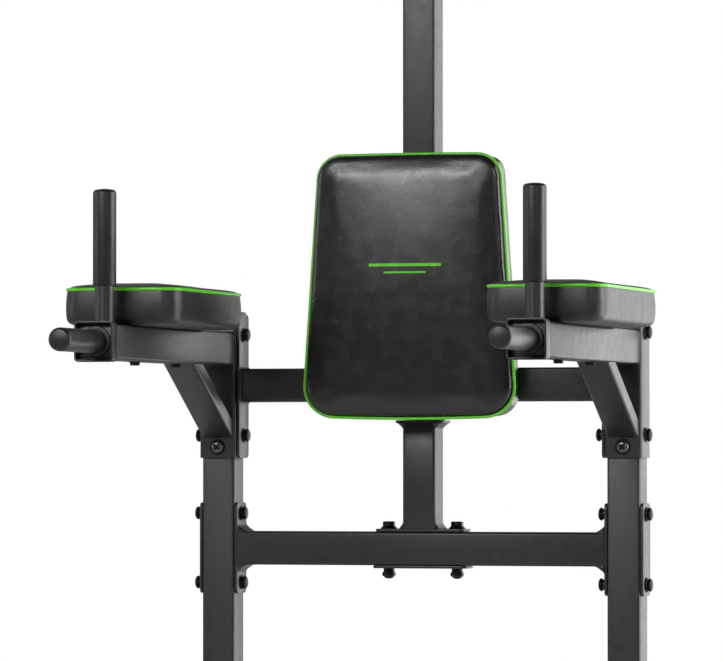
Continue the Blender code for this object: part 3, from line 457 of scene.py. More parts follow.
def vinyl(colours, printed=False):
    """Upholstery vinyl: embossed leather grain of cells about 1.5 mm across, a soft top gloss, and shallow
    creases where it is pulled over the foam, whose hollows are painted a little darker and whose ridges paler
    (painted shade and painted light).  The printed cover has two plain level stripes, green like the
    piping."""
    material, tree, where = base_material("upholstery_vinyl_printed" if printed else "upholstery_vinyl")
    if tree:
        warp = noise(tree, where, 1 / 0.006, 2.0)
        bent = node(tree, "ShaderNodeVectorMath", {0: where, 1: (0.0, 0.0, 0.0)}, operation="ADD")
        tree.links.new(node(tree, "ShaderNodeVectorMath", {0: warp, 1: (0.0012, 0.0012, 0.0012)},
                            operation="MULTIPLY").outputs[0], bent.inputs[1])
        cells = node(tree, "ShaderNodeTexVoronoi", {"Vector": bent.outputs[0], "Scale": 1 / 0.0015},
                     feature="SMOOTH_F1").outputs["Distance"]
        crease_and_shade = noise(tree, where, 1 / 0.030, 3.0, 0.5)
        swell = noise(tree, where, 1 / 0.11, 2.0)
        normal = bumped(tree, swell, 0.0012)
        normal = bumped(tree, crease_and_shade, 0.00022, 1.0, normal)
        normal = bumped(tree, cells, 0.00016, 0.9, normal)
        # Painted shade and light: the creases' hollows are coloured darker and their ridges paler.
        colour = mixed(tree, ranged(tree, crease_and_shade, 0.0, 1.0), shade(colours.vinyl, 0.92),
                       shade(colours.vinyl, 1.12))
        if printed:
            colour = mixed(tree, stripes(tree, where), colour, linear(colours.piping))
        worn = noise(tree, where, 1 / 0.02, 3.0)
        gloss = ranged(tree, worn, 0.23, 0.30) if printed else ranged(tree, worn, 0.40, 0.48)
        shader = tree.nodes["Principled BSDF"]
        shader.inputs["IOR"].default_value = 1.53
        tree.links.new(colour, shader.inputs["Base Color"])
        tree.links.new(gloss, shader.inputs["Roughness"])
        tree.links.new(normal, shader.inputs["Normal"])
    return material


def math_node(tree, operation, *values):
    """One sum of the shader's arithmetic."""
    return node(tree, "ShaderNodeMath", dict(enumerate(values)), operation=operation).outputs[0]


def stripes(tree, where):
    """Mask of two plain level stripes printed on the back pad's front: a long one, and a shorter one below
    it.  Each is where both the height's and the width's distance from its middle are under its half sizes."""
    place = node(tree, "ShaderNodeSeparateXYZ", {"Vector": where})
    across = math_node(tree, "ABSOLUTE", place.outputs["X"])
    masks = []
    for half_length, half_height, above in ((0.055, 0.0022, 0.030), (0.032, 0.0014, 0.019)):
        off = math_node(tree, "SUBTRACT", place.outputs["Z"], middle("back_pad")[2] + above)
        near = math_node(tree, "LESS_THAN", math_node(tree, "ABSOLUTE", off), half_height)
        masks.append(math_node(tree, "MULTIPLY", near, math_node(tree, "LESS_THAN", across, half_length)))
    in_front = math_node(tree, "LESS_THAN", place.outputs["Y"], middle("back_pad")[1])
    return math_node(tree, "MULTIPLY", math_node(tree, "MAXIMUM", *masks), in_front)


def piping_vinyl(colours):
    """Calendered PVC welt: bright and smooth, a little paler where the cord stretches it."""
    material, tree, where = base_material("piping_pvc")
    if tree:
        flow = noise(tree, where, 1 / 0.009, 2.0)
        shader = tree.nodes["Principled BSDF"]
        shader.inputs["Roughness"].default_value = 0.38
        shader.inputs["IOR"].default_value = 1.53
        tree.links.new(mixed(tree, ranged(tree, flow, 0.0, 1.0), shade(colours.piping, 0.88),
                             shade(colours.piping, 1.12)), shader.inputs["Base Color"])
        tree.links.new(bumped(tree, flow, 0.0003), shader.inputs["Normal"])
    return material


def moulded(name, hex_colour, grain, depth, low_gloss, high_gloss):
    """A moulded rubber or plastic: an even colour and a spark-eroded grain of a given size."""
    material, tree, where = base_material(name)
    if tree:
        fine = noise(tree, where, 1 / grain, 2.0, 0.6)
        worn = noise(tree, where, 1 / 0.03, 3.0)
        shader = tree.nodes["Principled BSDF"]
        shader.inputs["IOR"].default_value = 1.50
        tree.links.new(mixed(tree, ranged(tree, worn, 0.0, 1.0), shade(hex_colour, 0.88),
                             shade(hex_colour, 1.16)), shader.inputs["Base Color"])
        tree.links.new(ranged(tree, worn, low_gloss, high_gloss), shader.inputs["Roughness"])
        tree.links.new(bumped(tree, fine, depth), shader.inputs["Normal"])
    return material


def grip_rubber(colours):
    """Moulded thermoplastic rubber: satin, with a grain of about 0.9 mm."""
    return moulded("grip_rubber", colours.rubber, 0.0009, 0.00008, 0.36, 0.44)


def plug_plastic(colours):
    """Injection-moulded polyethylene plug: a fine grain with a low sheen."""
    return moulded("plug_polyethylene", colours.plastic, 0.0007, 0.00005, 0.42, 0.52)


def black_zinc(colours):
    """Zinc plate passivated black: dark metal, a little cloudy."""
    material, tree, where = base_material("black_zinc_plate")
    if tree:
        cloud = noise(tree, where, 1 / 0.004, 3.0)
        shader = tree.nodes["Principled BSDF"]
        shader.inputs["Metallic"].default_value = 0.7
        tree.links.new(mixed(tree, ranged(tree, cloud, 0.0, 1.0), shade(colours.fastener, 0.7),
                             shade(colours.fastener, 1.9)), shader.inputs["Base Color"])
        tree.links.new(ranged(tree, cloud, 0.30, 0.48), shader.inputs["Roughness"])
        tree.links.new(bumped(tree, cloud, 0.00005), shader.inputs["Normal"])
    return material


def bright_zinc():
    """Zinc plate passivated blue: a light, slightly cloudy metal."""
    material, tree, where = base_material("bright_zinc_plate")
    if tree:
        cloud = noise(tree, where, 1 / 0.003, 3.0)
        shader = tree.nodes["Principled BSDF"]
        shader.inputs["Metallic"].default_value = 1.0
        tree.links.new(mixed(tree, ranged(tree, cloud, 0.0, 1.0), linear("#454441"), linear("#6E6D69")),
                       shader.inputs["Base Color"])
        tree.links.new(ranged(tree, cloud, 0.24, 0.40), shader.inputs["Roughness"])
    return material


def birch_plywood(colours):
    """Birch plywood under a black stain: veneers 1.3 mm thick that show as bands on the edge, and long grain
    on the face."""
    material, tree, where = base_material("birch_plywood")
    if tree:
        grain = noise(tree, where, 1 / 0.004, 4.0, 0.6, (1.0, 1.0, 0.08))
        wave = {"Vector": where, "Scale": 1 / 0.0026 / 2 / math.pi, "Distortion": 0.4}
        bands = node(tree, "ShaderNodeTexWave", wave, bands_direction="DIAGONAL").outputs["Fac"]
        tone = mixed(tree, ranged(tree, bands, 0.0, 0.5), shade(colours.plywood, 1.05),
                     shade(colours.plywood, 0.62))
        shader = tree.nodes["Principled BSDF"]
        shader.inputs["Roughness"].default_value = 0.62
        tree.links.new(mixed(tree, ranged(tree, grain, 0.0, 0.45), tone, shade(colours.plywood, 0.7)),
                       shader.inputs["Base Color"])
        tree.links.new(bumped(tree, grain, 0.0002), shader.inputs["Normal"])
    return material


# ---------------------------------------------------------------- base

def build_base(sizes, colours):
    """The two rails with their shoes, struts and push-up handles, and the stabiliser behind them."""
    steel, rubber = powder_coat(colours), grip_rubber(colours)
    for side, sign in SIDES.items():
        rail = f"base_rail_{side}"
        x, front, rear, z = sign * UPRIGHT_X, low(rail)[1], high(rail)[1], middle(rail)[2]
        face = (x, rear - PLATE_THICK, z)
        grids = [
            bar(TUBE, TUBE, sizes.tube_corner, (x, front, z), BACK, RIGHT, rear - PLATE_THICK / 2 - front,
                sizes.edge),
            plate(PLATE_LONG, PLATE_WIDE, PLATE_THICK, face, BACK, RIGHT, sizes),
            weld(TUBE, TUBE, sizes.tube_corner, face, -BACK, RIGHT, 0.004, 0.004),
        ]
        piece(f"rail_tube_{side}", grids, steel, [rail])
        for end, inward in (("front", BACK), ("rear", -RIGHT * sign)):
            build_shoe(f"{end}_foot_{side}", inward, rubber)
        build_strut(side, steel, sizes)
        build_push_up(side, steel, rubber, sizes)
    bar_low, bar_high = low("rear_stabiliser"), high("rear_stabiliser")
    start = (bar_low[0], middle("rear_stabiliser")[1], middle("rear_stabiliser")[2])
    piece("stabiliser_tube", [bar(TUBE, TUBE, sizes.tube_corner, start, RIGHT, BACK, bar_high[0] - bar_low[0],
                                  sizes.edge)], steel, ["rear_stabiliser"])


def build_shoe(name, inward, rubber):
    """A rubber shoe over a tube's end: a rounded box with softened rims and two grip ribs under it."""
    box_low, box_high = low(name), high(name)
    size = box_high - box_low
    axis = int(np.argmax(np.abs(inward)))
    wide = size[1 - axis]
    start = (box_low + box_high) / 2 - np.asarray(inward) * size[axis] / 2
    start[2] = middle(name)[2]
    across = np.cross(UP, inward)
    outline = rounded_loop(wide, size[2], 0.008, 8)
    heights = np.array((0.0, 0.0006, 0.002, 0.005, size[axis] - 0.004, size[axis] - 0.001, size[axis]))
    insets = np.array((0.0050, 0.0030, 0.0012, 0.0, 0.0, 0.0004, 0.0016))
    flat = skin(outline, heights, insets)
    grid = lay(flat, start, inward, across)
    rib = skin(rounded_loop(wide + 0.0008, size[2] - 0.016, 0.006, 6), (0.0, 0.0006, 0.0024, 0.003),
               (0.0012, 0.0, 0.0, 0.0012))
    ribs = [lay(rib, start + np.asarray(inward) * offset, inward, across) for offset in (0.018, 0.027, 0.036)]
    piece(f"{name}_shoe", [grid, *ribs], rubber, [name])


def mitred_bar(width, height, corner, start, end, start_plane, end_plane):
    """A straight tube cut by a plane at each end: a ring's points slide along the tube to meet the plane."""
    start, end = np.asarray(start, float), np.asarray(end, float)
    along = (end - start) / np.linalg.norm(end - start)
    outline = rounded_loop(width, height, corner)
    rings = []
    for axis, place in (start_plane, end_plane):
        flat = lay(skin(outline, (0.0,), (0.0,)), start, along, RIGHT)[0]
        rings.append(flat + along * ((place - flat[:, axis]) / along[axis])[:, None])
    first, last = rings
    share = np.array((0.0, 0.02, 0.5, 0.98, 1.0))[:, None, None]
    return first[None] * (1 - share) + last[None] * share


def build_strut(side, steel, sizes):
    """The rear strut from an upright down to its rail.  Its angle is the one at which a bar of its width just
    fills its box, found by turning the bar again and again to fit."""
    name = f"base_brace_{side}"
    node_low, node_high = low(name), high(name)
    x, width = middle(name)[0], STRUT_WIDTH
    run, rise = node_high[1] - node_low[1], node_high[2] - node_low[2]
    angle = math.atan2(rise, run)
    for _ in range(20):
        angle = math.atan2(rise - width / math.cos(angle), run)
    top = (x, node_low[1], node_high[2] - width / math.cos(angle) / 2)
    foot = (x, node_high[1] - width / math.sin(angle) / 2, node_low[2])
    tube = mitred_bar(width, width, sizes.tube_corner, top, foot, (1, node_low[1]), (2, node_low[2]))
    piece(f"strut_tube_{side}", [tube], steel, [name])


def build_push_up(side, steel, rubber, sizes):
    """The inverted U on the rail, its welded feet and its grip."""
    handle = f"push_up_handle_{side}"
    box_low, box_high = low(handle), high(handle)
    x, radius = middle(handle)[0], (box_high[0] - box_low[0]) / 2
    top = box_high[2] - radius
    near, far = box_high[1] - radius, box_low[1] + radius
    corners = [(x, near, box_low[2]), (x, near, top), (x, far, top), (x, far, box_low[2])]
    tube = swept(circle_loop(radius, sizes.around // 2), bent_path(corners, 0.035), RIGHT)
    feet = [turned([(0.0, 0.006), (0.0, 0.0195), (0.0016, 0.0200), (0.0032, 0.0195), (0.0034, 0.0165),
                    (0.0045, 0.0145), (0.0070, 0.0120)], (x, y, box_low[2]), UP) for y in (near, far)]
    piece(f"push_up_tube_{side}", [tube, *feet], steel, [handle])
    build_grip(f"push_up_grip_{side}", 1, rubber, ribs=5)


# ---------------------------------------------------------------- uprights, beams and masts

def build_frame(sizes, colours):
    """The uprights with their foot plates, the backing plates, the beams and the masts."""
    steel = powder_coat(colours)
    corner = sizes.tube_corner
    for side, sign in SIDES.items():
        name = f"upright_{side}"
        x, foot, top = sign * UPRIGHT_X, low(name)[2], high(name)[2]
        base = (x, FRAME_Y, foot)
        on_plate = (x, FRAME_Y, foot + PLATE_THICK)
        piece(f"upright_tube_{side}",
              [bar(TUBE, TUBE, corner, on_plate, UP, RIGHT, top - foot - PLATE_THICK, sizes.edge),
               plate(PLATE_WIDE, PLATE_LONG, PLATE_THICK, base, UP, RIGHT, sizes),
               weld(TUBE, TUBE, corner, on_plate, UP, RIGHT, 0.004, 0.006)],
              steel, [name])
        backing = f"beam_backing_plate_{side}"
        start = (low(backing)[0], FRAME_Y, middle(backing)[2])
        flat = plate(PLATE_WIDE, PLATE_LONG, PLATE_THICK, start, RIGHT, BACK, sizes)
        piece(f"backing_plate_{side}", [flat], steel, [backing])
    build_beam(steel, sizes)
    build_lower_mast(steel, sizes)
    build_crossbar(steel, sizes)
    mast_low, mast_high = low("upper_mast"), high("upper_mast")
    piece("mast_tube", [bar(TUBE, TUBE, corner, (0.0, FRAME_Y, mast_low[2]), UP, RIGHT,
                            mast_high[2] - mast_low[2], sizes.edge)], steel, ["upper_mast"])


def build_beam(steel, sizes):
    """The lower crossbeam: a tube with a welded plate at each end."""
    end = high("lower_crossbeam")[0]
    grids = [bar(TUBE, TUBE, sizes.tube_corner, (-end + PLATE_THICK, FRAME_Y, BEAM_Z), RIGHT, BACK,
                 2 * (end - PLATE_THICK), sizes.edge)]
    for sign in SIDES.values():
        face = (sign * end, FRAME_Y, BEAM_Z)
        inner = (sign * (end - PLATE_THICK), FRAME_Y, BEAM_Z)
        grids.append(plate(PLATE_WIDE, PLATE_LONG, PLATE_THICK, face, -sign * RIGHT, BACK, sizes))
        grids.append(weld(TUBE, TUBE, sizes.tube_corner, inner, -sign * RIGHT, BACK, 0.0110, 0.0145, 0))
    piece("crossbeam_tube", grids, steel, ["lower_crossbeam"])


def build_lower_mast(steel, sizes):
    """The short mast: a foot plate on the beam, a head plate under the socket, and flared welds at both."""
    foot, top = low("lower_mast")[2], high("lower_mast")[2]
    on_plate = (0.0, FRAME_Y, foot + PLATE_THICK)
    under_head = (0.0, FRAME_Y, top - PLATE_THICK)
    leg = sizes.weld_leg
    piece("mast_stub", [
        bar(TUBE, TUBE, sizes.tube_corner, on_plate, UP, RIGHT, top - foot - 2 * PLATE_THICK, sizes.edge),
        plate(PLATE_LONG, PLATE_WIDE, PLATE_THICK, (0.0, FRAME_Y, foot), UP, RIGHT, sizes),
        plate(0.075, PLATE_WIDE, PLATE_THICK, under_head, UP, RIGHT, sizes),
        weld(TUBE, TUBE, sizes.tube_corner, on_plate, UP, RIGHT, leg, 1.3 * leg, 1),
        weld(TUBE, TUBE, sizes.tube_corner, under_head, -UP, RIGHT, 1.3 * leg, 1.2 * leg, 1),
    ], steel, ["lower_mast"])
    backing = "mast_backing_plate"
    long = high(backing)[0] - low(backing)[0]
    piece("mast_backing", [plate(long, PLATE_WIDE, PLATE_THICK, (0.0, FRAME_Y, low(backing)[2]), UP, RIGHT,
                                 sizes)], steel, [backing])


def build_crossbar(steel, sizes):
    """The upper crossbar: long end plates against the sleeves, and the socket that holds the mast."""
    name = "upper_crossbar"
    end, z = high(name)[0], CROSSBAR_Z
    grids = [bar(TUBE, TUBE, sizes.tube_corner, (-end + PLATE_THICK, FRAME_Y, z), RIGHT, BACK,
                 2 * (end - PLATE_THICK), sizes.edge)]
    long = SLEEVE_TOP - SLEEVE_LOW
    for sign in SIDES.values():
        face = (sign * end, FRAME_Y, (SLEEVE_LOW + SLEEVE_TOP) / 2)
        grids.append(plate(PLATE_WIDE, long, PLATE_THICK, face, -sign * RIGHT, BACK, sizes))
        inner = (sign * (end - PLATE_THICK), FRAME_Y, z)
        grids.append(weld(TUBE, TUBE, sizes.tube_corner, inner, -sign * RIGHT, BACK, 0.0035, 0.0035))
        at_socket = (sign * SLEEVE / 2, FRAME_Y, z)
        grids.append(weld(TUBE, TUBE, sizes.tube_corner, at_socket, sign * RIGHT, BACK, 0.0035, 0.0035))
    top = high(name)[2]
    socket_foot = high("lower_mast")[2] + GAP
    grids.append(bar(SLEEVE, SLEEVE, SLEEVE_CORNER, (0.0, FRAME_Y, socket_foot), UP, RIGHT, top - socket_foot,
                     sizes.edge, wall=SLEEVE_WALL, open_end=True))
    piece("crossbar_tube", grids, steel, [name])


# ---------------------------------------------------------------- arms

def sleeved_arm(x, sleeve_low, sleeve_top, arm_z, arm_front, sizes):
    """The grids of a sleeve, the arm tube in front of it, the brace below and the welds between them."""
    front_face = FRAME_Y - SLEEVE / 2
    corner = sizes.tube_corner
    grids = [bar(SLEEVE, SLEEVE, SLEEVE_CORNER, (x, FRAME_Y, sleeve_low), UP, RIGHT, sleeve_top - sleeve_low,
                 sizes.edge, wall=SLEEVE_WALL, open_start=True, depth=0.004)]
    grids.append(bar(TUBE, TUBE, corner, (x, front_face, arm_z), -BACK, RIGHT, front_face - arm_front,
                     sizes.edge))
    grids.append(weld(TUBE, TUBE, corner, (x, front_face, arm_z), -BACK, RIGHT, 0.0014, 0.0014))
    under = arm_z - TUBE / 2
    brace_low = sleeve_low + 0.030
    lower_run, upper_run = 0.194, 0.1396
    lower_rise, upper_rise = under - brace_low, under - brace_low - BRACE_RISE
    start = (x, front_face, brace_low + BRACE_RISE / 2)
    end = (x, front_face - (lower_run + upper_run) / 2, under)
    slope = math.atan2(lower_rise + upper_rise, lower_run + upper_run)
    thick = BRACE_RISE * math.cos(slope)
    grids.append(mitred_bar(BRACE_WIDTH, thick, 0.004, start, end, (1, front_face), (2, under)))
    return grids


def build_arms(sizes, colours):
    """The dip arms: sleeve, arm tube, brace, front collar and post, and the plug, handle and grips on it."""
    steel, rubber = powder_coat(colours), grip_rubber(colours)
    for side, sign in SIDES.items():
        x = sign * UPRIGHT_X
        collar_front = low(f"arm_frame_{side}")[1]
        tube_front = high(f"dip_handle_{side}")[1] + GAP
        grids = sleeved_arm(x, SLEEVE_LOW, SLEEVE_TOP, ARM_Z, tube_front, sizes)
        collar_back = tube_front + 0.004
        on_tube = (x, collar_back, ARM_Z)
        grids.append(bar(SLEEVE, SLEEVE, 0.0055, on_tube, -BACK, RIGHT, collar_back - collar_front,
                         sizes.edge, wall=SLEEVE_WALL, open_end=True, depth=0.0165))
        grids.append(weld(TUBE, TUBE, sizes.tube_corner, on_tube, BACK, RIGHT, 0.0012, 0.0012))
        post_top = high(f"post_grip_{side}")[2] - 0.004
        on_arm = (x, POST_Y, ARM_Z + TUBE / 2 - 0.0005)
        grids.append(turned([(0.0, 0.0165), (0.0012, 0.0162), (0.0030, 0.0145), (0.0045, 0.0136),
                             (0.0060, 0.0135), (post_top - on_arm[2], 0.0135)], on_arm, UP, sizes.around))
        piece(f"arm_weldment_{side}", grids, steel, [f"arm_frame_{side}"])
        build_plug(side, x, colours)
        build_dip_handle(side, x, steel, sizes)
        build_grip(f"post_grip_{side}", 2, rubber, dome_end=1)
        build_grip(f"dip_grip_{side}", 1, rubber, dome_end=-1)


def build_plug(side, x, colours):
    """The moulded plug on top of a sleeve: a lid with a soft rim."""
    top = high(f"arm_plug_{side}")[2]
    start = top - 0.004
    outline = rounded_loop(SLEEVE, SLEEVE, SLEEVE_CORNER, 8)
    lid = skin(outline, (0.0, 0.0004, 0.0022, 0.0034, 0.0039, 0.0040),
               (0.0006, 0.0, 0.0, 0.0006, 0.0018, 0.004))
    piece(f"sleeve_plug_{side}", [lay(lid, (x, FRAME_Y, start), UP, RIGHT)], plug_plastic(colours),
          [f"arm_plug_{side}"])


def build_dip_handle(side, x, steel, sizes):
    """The level handle: a square plate in the collar with a raised ring and a tube in its middle."""
    name = f"dip_handle_{side}"
    back, front = high(name)[1], low(name)[1]
    grids = [bar(0.0504, 0.0504, 0.003, (x, back, ARM_Z), -BACK, RIGHT, PLATE_THICK, sizes.edge)]
    ring = [(0.0, 0.0220), (0.0068, 0.0220), (0.0078, 0.0212), (0.0080, 0.0200), (0.0080, 0.0165)]
    grids.append(turned(ring, (x, back, ARM_Z), -BACK, sizes.around))
    grids.append(turned([(0.0, 0.0130), (back - front, 0.0130)], (x, back, ARM_Z), -BACK, sizes.around))
    piece(f"dip_tube_{side}", grids, steel, [name])


def build_grip(name, axis, rubber, dome_end=0, ribs=0):
    """A rubber grip along an axis of the frame: a sleeve with soft rims, and a dome where it is closed."""
    box_low, box_high = low(name), high(name)
    centre, size = (box_low + box_high) / 2, box_high - box_low
    radius, length = size[(axis + 1) % 3] / 2, size[axis]
    along = np.zeros(3)
    along[axis] = dome_end or 1
    start = centre - along * length / 2
    rim = [(0.0, radius - 0.0024), (0.0003, radius - 0.0012), (0.0010, radius - 0.0003), (0.0020, radius)]
    if dome_end:
        body = np.concatenate((rim, shoulder(radius, length)))
    else:
        body = np.concatenate((rim, [(length - t, r) for t, r in reversed(rim)]))
    grids = [turned(body, start, along, 56)]
    for k in range(ribs):
        place = start + along * (0.02 + (length - 0.04) * k / max(1, ribs - 1))
        grids.append(turned([(-0.0016, radius - 0.001), (-0.0010, radius + 0.0003), (0.0, radius + 0.0006),
                             (0.0010, radius + 0.0003), (0.0016, radius - 0.001)], place, along, 56))
    piece(f"{name}_sleeve", grids, rubber, [name])


# ---------------------------------------------------------------- pull-up bar

def build_pull_up(sizes, colours):
    """The sleeved arm on top of the mast, with the plate that carries the bar."""
    steel, rubber = powder_coat(colours), grip_rubber(colours)
    name = "pull_up_frame"
    sleeve_low, sleeve_top, front = low(name)[2], high(name)[2], low(name)[1]
    arm_z = sleeve_low + (ARM_Z - SLEEVE_LOW)
    grids = sleeved_arm(0.0, sleeve_low, sleeve_top, arm_z, front + PLATE_THICK, sizes)
    on_plate = (0.0, front + PLATE_THICK, arm_z)
    grids.append(plate(PLATE_LONG, PLATE_WIDE, PLATE_THICK, on_plate, -BACK, RIGHT, sizes))
    grids.append(weld(TUBE, TUBE, sizes.tube_corner, on_plate, BACK, RIGHT, 0.0045, 0.0045))
    piece("pull_up_weldment", grids, steel, [name])
    build_pull_up_bar(arm_z, steel, rubber, sizes)


def build_pull_up_bar(arm_z, steel, rubber, sizes):
    """The bent round bar on its plate and saddle, with a rubber sleeve over each angled end."""
    name = "pull_up_bar"
    radius = 0.016
    bar_y = low(name)[1] + radius
    plate_back = high(name)[1]
    tip = np.array((0.550, arm_z - 0.100))
    bend = np.array((0.330, arm_z))
    corners = [(-tip[0], bar_y, tip[1]), (-bend[0], bar_y, bend[1]), (bend[0], bar_y, bend[1]),
               (tip[0], bar_y, tip[1])]
    path = bent_path(corners, 0.120)
    tube = swept(circle_loop(radius, sizes.around), path, BACK)
    mount = plate(PLATE_LONG, PLATE_WIDE, PLATE_THICK, (0.0, plate_back, arm_z), -BACK, RIGHT, sizes)
    saddle = bar(TUBE, 0.020, 0.003, (0.0, plate_back - PLATE_THICK / 2, arm_z), -BACK, RIGHT, 0.012,
                 sizes.edge)
    piece("pull_up_tube", [tube, mount, saddle], steel, [name])
    outer = radius + 0.0035
    for side, sign in SIDES.items():
        outward = np.array((sign * (tip[0] - bend[0]), 0.0, tip[1] - bend[1]))
        outward /= np.linalg.norm(outward)
        end = np.array((sign * tip[0], bar_y, tip[1])) - outward * 0.150
        body = [(0.0, outer - 0.0030), (0.0006, outer - 0.0010), (0.0022, outer)]
        body = np.concatenate((body, shoulder(outer, 0.1538)))
        grids = [turned(body, end, outward, 56)]
        for k in range(11):
            grids.append(turned([(-0.0017, outer - 0.001), (-0.0010, outer + 0.0003), (0.0, outer + 0.0006),
                                 (0.0010, outer + 0.0003), (0.0017, outer - 0.001)],
                                end + outward * (0.020 + 0.0115 * k), outward, 56))
        piece(f"pull_up_grip_{side}_sleeve", grids, rubber, [f"pull_up_grip_{side}"])


# ---------------------------------------------------------------- fasteners

def capped_end(place, outward, reach=CAP_REACH):
    """A bolt's capped end: a flat washer, a pinched neck and a domed cap that ends at a given reach."""
    neck = reach - 0.0062
    profile = [(-0.0005, 0.0075), (-0.0005, 0.0103), (0.0, 0.0108), (0.0014, 0.0108), (0.0019, 0.0103),
               (0.0022, 0.0080), (neck - 0.0004, 0.0076), (neck, 0.0086), (neck + 0.0004, 0.0094),
               (neck + 0.0018, 0.0097)]
    profile = np.concatenate((profile, quarter(0.0097, 0.0040, reach - 0.0040, 9, 0.0012)))
    return turned(profile, place, outward, 36)


def hex_head(place, outward, flats=0.017, height=0.0075):
    """A flanged hexagon head: a cone-shaped flange under six eased flats."""
    flange = turned([(-0.0005, 0.0080), (-0.0005, 0.0122), (0.0004, 0.0126), (0.0012, 0.0122),
                     (0.0042, 0.0090), (0.0044, 0.0060)], place, outward, 36)
    outline = hexagon_loop(flats)
    top = 0.0032 + height
    head = skin(outline, (0.0030, top - 0.0010, top - 0.0003, top), (0.0, 0.0, 0.0005, 0.0014))
    across = RIGHT if abs(np.dot(outward, RIGHT)) < 0.9 else BACK
    return [flange, lay(head, place, outward, across)]


def hex_nut(place, outward):
    """A domed nut: a short round neck, six flats and a dome."""
    neck = turned([(-0.0005, 0.0060), (-0.0005, 0.0082), (0.0058, 0.0082), (0.0060, 0.0060)], place,
                  outward, 36)
    outline = hexagon_loop(0.0185)
    across = RIGHT if abs(np.dot(outward, RIGHT)) < 0.9 else BACK
    flat = skin(outline, (0.0052, 0.0060, 0.0108, 0.0118), (0.0018, 0.0, 0.0, 0.0016))
    cap = turned(quarter(0.0078, 0.0042, 0.0112, 8, 0.0008), place, outward, 36)
    return [neck, lay(flat, place, outward, across), cap]


def build_fasteners(colours):
    """The bolts through the uprights and the beam, the sleeves' screws and the forearm pads' bolts."""
    zinc = black_zinc(colours)
    for side in SIDES:
        for group in ("beam_bolt", "arm_bolt"):
            for level in ("lower", "upper"):
                name = f"{group}_{side}_{level}"
                centre = middle(name)
                seat_low, seat_high = low(name)[0] + NUT_REACH, high(name)[0] - CAP_REACH
                ends = [capped_end((seat_low, centre[1], centre[2]), -RIGHT, NUT_REACH),
                        capped_end((seat_high, centre[1], centre[2]), RIGHT)]
                piece(f"{name}_set", ends, zinc, [name])
        name = f"mast_foot_bolt_{side}"
        x, y = middle(name)[0], middle(name)[1]
        head = hex_head((x, y, high(name)[2] - 0.011), UP)
        nut = hex_nut((x, y, low(name)[2] + 0.015), -UP)
        piece(f"{name}_set", [*head, *nut], zinc, [name])
        build_screw(side, zinc)
        for label in ("front", "rear"):
            name = f"arm_pad_bolt_{side}_{label}"
            place = (middle(name)[0], middle(name)[1], low(name)[2] + 0.0055)
            washer = turned([(-0.0003, 0.0080), (0.0004, 0.0084), (0.0012, 0.0080), (0.0013, 0.0060)],
                            place, -UP, 36)
            head = skin(hexagon_loop(0.0130), (0.0010, 0.0046, 0.0052, 0.0055), (0.0, 0.0, 0.0004, 0.0012))
            piece(f"{name}_head", [washer, lay(head, place, -UP, RIGHT)], zinc, [name])
    build_extra_fasteners(zinc)


def build_screw(side, zinc):
    """The round-headed screw in a sleeve's front: a pan head with a cross recess, on a flat washer.  Two dark
    blades on the head are painted shade in the recess.
    """
    name = f"arm_screw_{side}"
    seat = (middle(name)[0], FRAME_Y - SLEEVE / 2 - GAP, middle(name)[2])
    washer = turned([(-0.0003, 0.0110), (0.0004, 0.0117), (0.0012, 0.0117), (0.0016, 0.0112),
                     (0.0016, 0.0080)], seat, -BACK, 48)
    head = [(0.0014, 0.0088), (0.0022, 0.0093), (0.0032, 0.0090), (0.0044, 0.0078), (0.0052, 0.0062),
            (0.0055, 0.0048), (0.0056, 0.0010)]
    # Painted shade: dark blades stand where the cross recess's shadow falls, and go in the washer's piece.
    cross = recess_shade_cross((seat[0], seat[1] - 0.0056, seat[2]))
    piece(f"{name}_washer_and_recess_shade", [washer, *cross], zinc)
    piece(f"{name}_head", [turned(head, seat, -BACK, 48)], bright_zinc(), [name])


def recess_shade_cross(place):
    """A cross recess, as painted shade: two dark blades that lie a little proud of the head they are
    cut in.
    """
    blade = skin(rounded_loop(0.0112, 0.0029, 0.0010, 4), (-0.0010, 0.0, 0.0002), (0.0, 0.0, 0.0002))
    return [lay(blade, place, -BACK, (RIGHT + sign * UP) / math.sqrt(2)) for sign in (-1.0, 1.0)]


def build_extra_fasteners(zinc):
    """Bolts of the base, the pull-up bar's plates, the socket and the pad brackets."""
    for side, sign in SIDES.items():
        x = sign * UPRIGHT_X
        plate_top = low(f"upright_{side}")[2] + PLATE_THICK
        grids = []
        for offset in (-BOLT_HALF_PITCH, BOLT_HALF_PITCH):
            grids += hex_head((x, FRAME_Y + offset, plate_top), UP)
        face = high(f"base_rail_{side}")[1] - PLATE_THICK
        rear = high("rear_stabiliser")[1]
        place_z = middle(f"base_rail_{side}")[2]
        for offset in (-BOLT_HALF_PITCH, BOLT_HALF_PITCH):
            grids += hex_head((x + offset, face, place_z), -BACK)
            grids.append(capped_end((x + offset, rear, place_z), BACK))
        piece(f"base_bolts_{side}", grids, zinc)
    arm_z = low("pull_up_frame")[2] + (ARM_Z - SLEEVE_LOW)
    back, front = low("pull_up_frame")[1] + PLATE_THICK, high("pull_up_bar")[1] - PLATE_THICK
    grids = []
    for offset in (-BOLT_HALF_PITCH, BOLT_HALF_PITCH):
        grids += hex_head((offset, back, arm_z), BACK)
        grids.append(turned([(-0.0005, 0.0090), (0.0005, 0.0096), (0.0024, 0.0086), (0.0032, 0.0060)],
                            (offset, front, arm_z), -BACK, 36))
    piece("pull_up_bolts", grids, zinc)
    grids = hex_head((0.0, FRAME_Y + SLEEVE / 2, middle("pad_bracket_lower")[2]), BACK)
    grids += hex_head((0.0, FRAME_Y + TUBE / 2, middle("pad_bracket_upper")[2]), BACK)
    grids += hex_head((0.0, FRAME_Y + SLEEVE / 2, low("pull_up_frame")[2] + 0.034), BACK)
    piece("mast_bolts", grids, zinc)


# ---------------------------------------------------------------- pads

